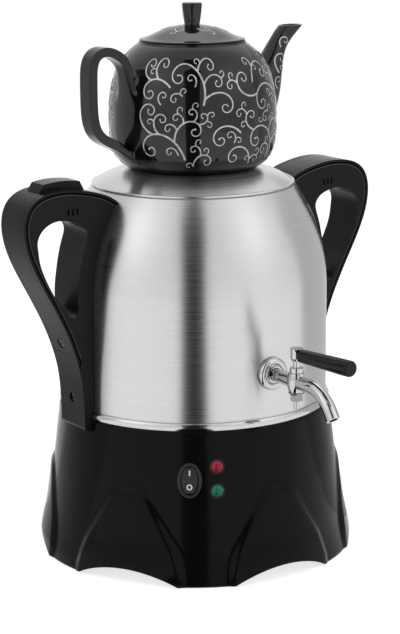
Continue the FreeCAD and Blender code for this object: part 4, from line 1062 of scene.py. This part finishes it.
def add_scrollwork():
    """Print on the pot, its spout and its lid"""
    tree = surface_tree(pot)
    sheets = [(pot_scroll(), pot_sheet(tree))]
    sheets += [(spout_scroll(), spout_sheet(tree, side)) for side in (-1, 1)]
    add_print("teapot_scroll", "teapot", sheets)
    add_print("lid_scroll", "teapot_lid", [(lid_scroll(), lid_sheet(surface_tree(pot_lid)))])


add_scrollwork()


# Seam of the wrapped cover on both flat sides of each handle: a near-black strip that is painted shade of
# its groove, and a glossy bead beside it

SEAM_PATH = [(79.6, 275.4), (88.6, 280.7), (98.4, 283.9), (108.7, 286.1), (119.0, 287.4), (129.3, 287.2),
             (139.3, 285.3), (147.8, 280.8), (152.9, 272.9), (154.4, 263.2), (153.3, 253.1), (150.4, 243.2),
             (146.3, 233.5), (141.6, 224.0), (136.5, 214.6), (131.3, 205.2), (126.4, 195.6), (121.7, 185.9),
             (117.5, 175.9), (113.8, 165.7), (112.5, 161.4), (112.5, 158.8), (113.5, 157.4)]
SEAM_SIDE = 17.0
SEAM_STEPS = 8
SEAM_WIDTH = 1.4
BEAD_INSET = 1.25
BEAD_WIDTH = 1.1
SEAM_SECTION = [(-1, -0.3), (-1, 0.05), (1, 0.05), (1, -0.3)]
BEAD_SECTION = [(-1, -0.3), (-1, 0.05), (-0.6, 0.28), (0, 0.38), (0.6, 0.28), (1, 0.05), (1, -0.3)]


def seam_line(inset):
    """Smooth line along the outer contour, moved inward"""
    reach = [(i, p[0]) for i, p in enumerate(SEAM_PATH)]
    rise = [(i, p[1]) for i, p in enumerate(SEAM_PATH)]
    steps = [i / SEAM_STEPS for i in range((len(SEAM_PATH) - 1) * SEAM_STEPS + 1)]
    line = [(interpolate(reach, t), interpolate(rise, t)) for t in steps]
    return [(x - side[0] * inset, z - side[1] * inset) for (x, z), side in zip(line, left_sides(line))]


def add_seams(name, inset, width, section, finish, stop=0):
    """Line on both sides of both handles, stopping short of the seam's end by some points"""
    points = []
    faces = []
    line = seam_line(inset)
    line = line[:len(line) - stop]
    for left in (-1, 1):
        for front in (-1, 1):
            normal = Vector((0, front, 0))
            places = [(Vector((left * x, front * SEAM_SIDE, z)) * MM, normal) for x, z in line]
            add_ribbon(points, faces, places, [width] * len(places), section)
    seams = mesh_object(name, points, faces)
    outward_normals(seams)
    seams.data.set_sharp_from_angle(angle=math.radians(50))
    dress(seams, "root", "handle_black", finish)


# Near-black strip where the groove runs, painted shade; the bead beside it is real relief
add_seams("cover_groove_shade", 0.0, SEAM_WIDTH, SEAM_SECTION, "seam_black")
add_seams("cover_beads", BEAD_INSET, BEAD_WIDTH, BEAD_SECTION, "bead_black", 20)


# Marks on the rocker, a bar for on and a ring for off

ROCKER_TILT = 7.0
ROCKER_FACE = 2.8
MARK_SINK = 0.05
MARK_LIFT = 0.06
# Name, height above the rocker's middle, outline and the outline of the hole
MARKS = [("mark_on", 5.4, rectangle(0.55, 2.1), None),
         ("mark_off", -5.0, oval_points(2.15, 2.15, 40), oval_points(1.25, 1.25, 40))]


def add_switch_marks():
    """Thin white print on the two faces of the rocker"""
    place = wall_place(SWITCH_AZIMUTH, SWITCH_Z) @ Matrix.Rotation(math.radians(-ROCKER_TILT), 4, "X")
    place = place @ Matrix.Translation((0, 0, ROCKER_FACE * MM))
    for name, centre, outer, inner in MARKS:
        tilt = math.radians(math.copysign(ROCKER_TILT, centre))
        local = place @ Matrix.Rotation(tilt, 4, "X") @ Matrix.Translation((0, centre * MM, 0))
        points, faces = prism(outer, -MARK_SINK, MARK_LIFT, local)
        if inner:
            count = len(outer)
            points += prism(inner, -MARK_SINK, MARK_LIFT, local)[0]
            rings = ((0, 1), (1, 3), (3, 2), (2, 0))
            faces = [face for a, b in rings for face in band(a * count, b * count, count)]
        mark = mesh_object(name, points, faces, smooth=False)
        outward_normals(mark)
        dress(mark, "switch_rocker", "switch_black", "mark_white")


add_switch_marks()


# Floor, background and light, in metres; their azimuths count from the camera's

ROOM_LEVEL = 0.64
FLOOR_HALF_SIZE = 12.0
FLOOR_COLOUR = 0.45
FLOOR_GLOW = 0.74
AIM_HEIGHT = 0.2
GAP_NEAR = 0.1
GAP_NEAR_HALF_WIDTH = 0.03
# Distance and height along the floor and up the wall
GAP_LINE = [(0.135, 0.002), (0.9, 0.002), (1.25, 0.5), (1.25, 2.6), (0.6, 3.6)]
SHADE_LINE = [(0.135, 0.002), (0.9, 0.002), (1.25, 0.4), (1.25, 1.0)]
# Azimuth, elevation, distance, width, height and watts
SOFTBOXES = {
    "left_softbox": (-62, 30, 2.2, 1.5, 2.0, 16),
    "right_softbox": (48, 30, 2.2, 1.5, 2.0, 16),
    "top_softbox": (0, 68, 2.2, 2.0, 1.4, 14),
}
# Azimuth, elevation, distance, width, height and brightness in the middle
GLOW_CARDS = {
    "left_panel": (-58, 34, 1.7, 2.6, 2.8, 1.95),
    "right_panel": (62, 34, 1.7, 2.6, 2.8, 1.8),
    "back_panel": (180, 58, 2.4, 3.6, 2.6, 2.4),
}
# Azimuth, half angle, line and brightness
DARK_GAPS = {
    "front_gap": (0, 8.0, GAP_LINE, 0.004),
    "right_shade": (129, 30.0, SHADE_LINE, 0.66),
    "left_shade": (-100, 28.0, SHADE_LINE, 0.74),
}


def seen_plain(tree):
    """1 for camera, glossy and transmission rays, else 0"""
    path = add_node(tree, "LightPath")
    result = path.outputs["Is Camera Ray"]
    for name in ("Is Glossy Ray", "Is Transmission Ray"):
        highest = add_node(tree, "Math", operation="MAXIMUM")
        tree.links.new(result, highest.inputs[0])
        tree.links.new(path.outputs[name], highest.inputs[1])
        result = highest.outputs[0]
    return result


def make_world():
    """Even light, with a white background where it is seen or reflected"""
    world = bpy.data.worlds.new("studio")
    tree = blank_tree(world)
    mix = add_node(tree, "MixShader")
    tree.links.new(seen_plain(tree), mix.inputs["Fac"])
    for socket, level in ((1, ROOM_LEVEL), (2, 1.0)):
        background = add_node(tree, "Background", {"Color": (1, 1, 1, 1), "Strength": level})
        tree.links.new(background.outputs[0], mix.inputs[socket])
    output = add_node(tree, "OutputWorld")
    tree.links.new(mix.outputs[0], output.inputs["Surface"])
    bpy.context.scene.world = world


def stage_mesh(name, points, faces):
    """Object of the stage from points in metres, and the empty node tree of its material"""
    mesh = bpy.data.meshes.new(name)
    mesh.from_pydata(points, [], faces)
    material = bpy.data.materials.new(name)
    mesh.materials.append(material)
    return make_object(name, mesh), blank_tree(material)


def stage_sheet(name, width, height):
    """Flat rectangle of the stage"""
    return stage_mesh(name, [(x, y, 0) for x, y in rectangle(width / 2, height / 2)], [(0, 1, 2, 3)])


def make_floor():
    """Pale floor that keeps the object's shadow"""
    floor, tree = stage_sheet("floor", FLOOR_HALF_SIZE * 2, FLOOR_HALF_SIZE * 2)
    diffuse = add_node(tree, "BsdfDiffuse", {"Color": (*grey(FLOOR_COLOUR), 1)})
    share = add_node(tree, "Math", {1: FLOOR_GLOW}, operation="MULTIPLY")
    glow = add_node(tree, "Emission")
    add = add_node(tree, "AddShader")
    output = add_node(tree, "OutputMaterial")
    tree.links.new(seen_plain(tree), share.inputs[0])
    tree.links.new(share.outputs[0], glow.inputs["Strength"])
    tree.links.new(diffuse.outputs[0], add.inputs[0])
    tree.links.new(glow.outputs[0], add.inputs[1])
    tree.links.new(add.outputs[0], output.inputs["Surface"])


def aim(obj, azimuth, elevation, distance):
    """Put an object round the samovar, facing its middle with its -Z"""
    target = Vector((0, 0, AIM_HEIGHT))
    place = target + direction(CAMERA_TURN + azimuth, elevation) * distance
    obj.rotation_mode = "QUATERNION"
    obj.location = place
    obj.rotation_quaternion = (target - place).to_track_quat("-Z", "Y")


def softbox(name, azimuth, elevation, distance, width, height, power):
    """Large rectangular lamp aimed at the middle of the object"""
    data = bpy.data.lights.new(name, "AREA")
    data.shape = "RECTANGLE"
    data.size = width
    data.size_y = height
    data.energy = power
    lamp = make_object(name, data)
    lamp.visible_glossy = False
    aim(lamp, azimuth, elevation, distance)


def reflected_glow(card, tree):
    """Make a card glow in reflections alone, and return the socket of its strength"""
    card.visible_camera = False
    card.visible_diffuse = False
    card.visible_shadow = False
    card.visible_transmission = False
    glow = add_node(tree, "Emission")
    output = add_node(tree, "OutputMaterial")
    tree.links.new(glow.outputs[0], output.inputs["Surface"])
    return glow.inputs["Strength"]


def glow_card(name, azimuth, elevation, distance, width, height, peak):
    """Panel seen in reflections, brightest in its middle and as bright as the background at its edge"""
    card, tree = stage_sheet(name, width, height)
    aim(card, azimuth, elevation, distance)
    place = add_node(tree, "TexCoord")
    mapping = add_node(tree, "Mapping", {"Scale": (2 / width, 2 / height, 1)})
    gradient = add_node(tree, "TexGradient", gradient_type="QUADRATIC_SPHERE")
    ranged = add_node(tree, "MapRange", {"To Min": 1.0, "To Max": peak})
    tree.links.new(place.outputs["Object"], mapping.inputs["Vector"])
    tree.links.new(mapping.outputs["Vector"], gradient.inputs["Vector"])
    tree.links.new(gradient.outputs["Fac"], ranged.inputs["Value"])
    tree.links.new(ranged.outputs["Result"], reflected_glow(card, tree))


def dark_gap(name, azimuth, half_angle, line, level):
    """Darker strip on the floor and up the wall, seen only in reflections"""
    widening = math.tan(math.radians(half_angle))
    points = []
    for distance, z in line:
        half = GAP_NEAR_HALF_WIDTH + (math.hypot(distance, z) - GAP_NEAR) * widening
        middle = direction(CAMERA_TURN + azimuth) * distance
        across = direction(CAMERA_TURN + azimuth + 90) * half
        points += [(c.x, c.y, z) for c in (middle - across, middle + across)]
    faces = [(2 * i, 2 * i + 1, 2 * i + 3, 2 * i + 2) for i in range(len(line) - 1)]
    card, tree = stage_mesh(name, points, faces)
    reflected_glow(card, tree).default_value = level


bpy.context.scene.view_settings.view_transform = "Standard"
make_camera()
make_world()
make_floor()
for add, pieces in ((softbox, SOFTBOXES), (glow_card, GLOW_CARDS), (dark_gap, DARK_GAPS)):
    for name, values in pieces.items():
        add(name, *values)
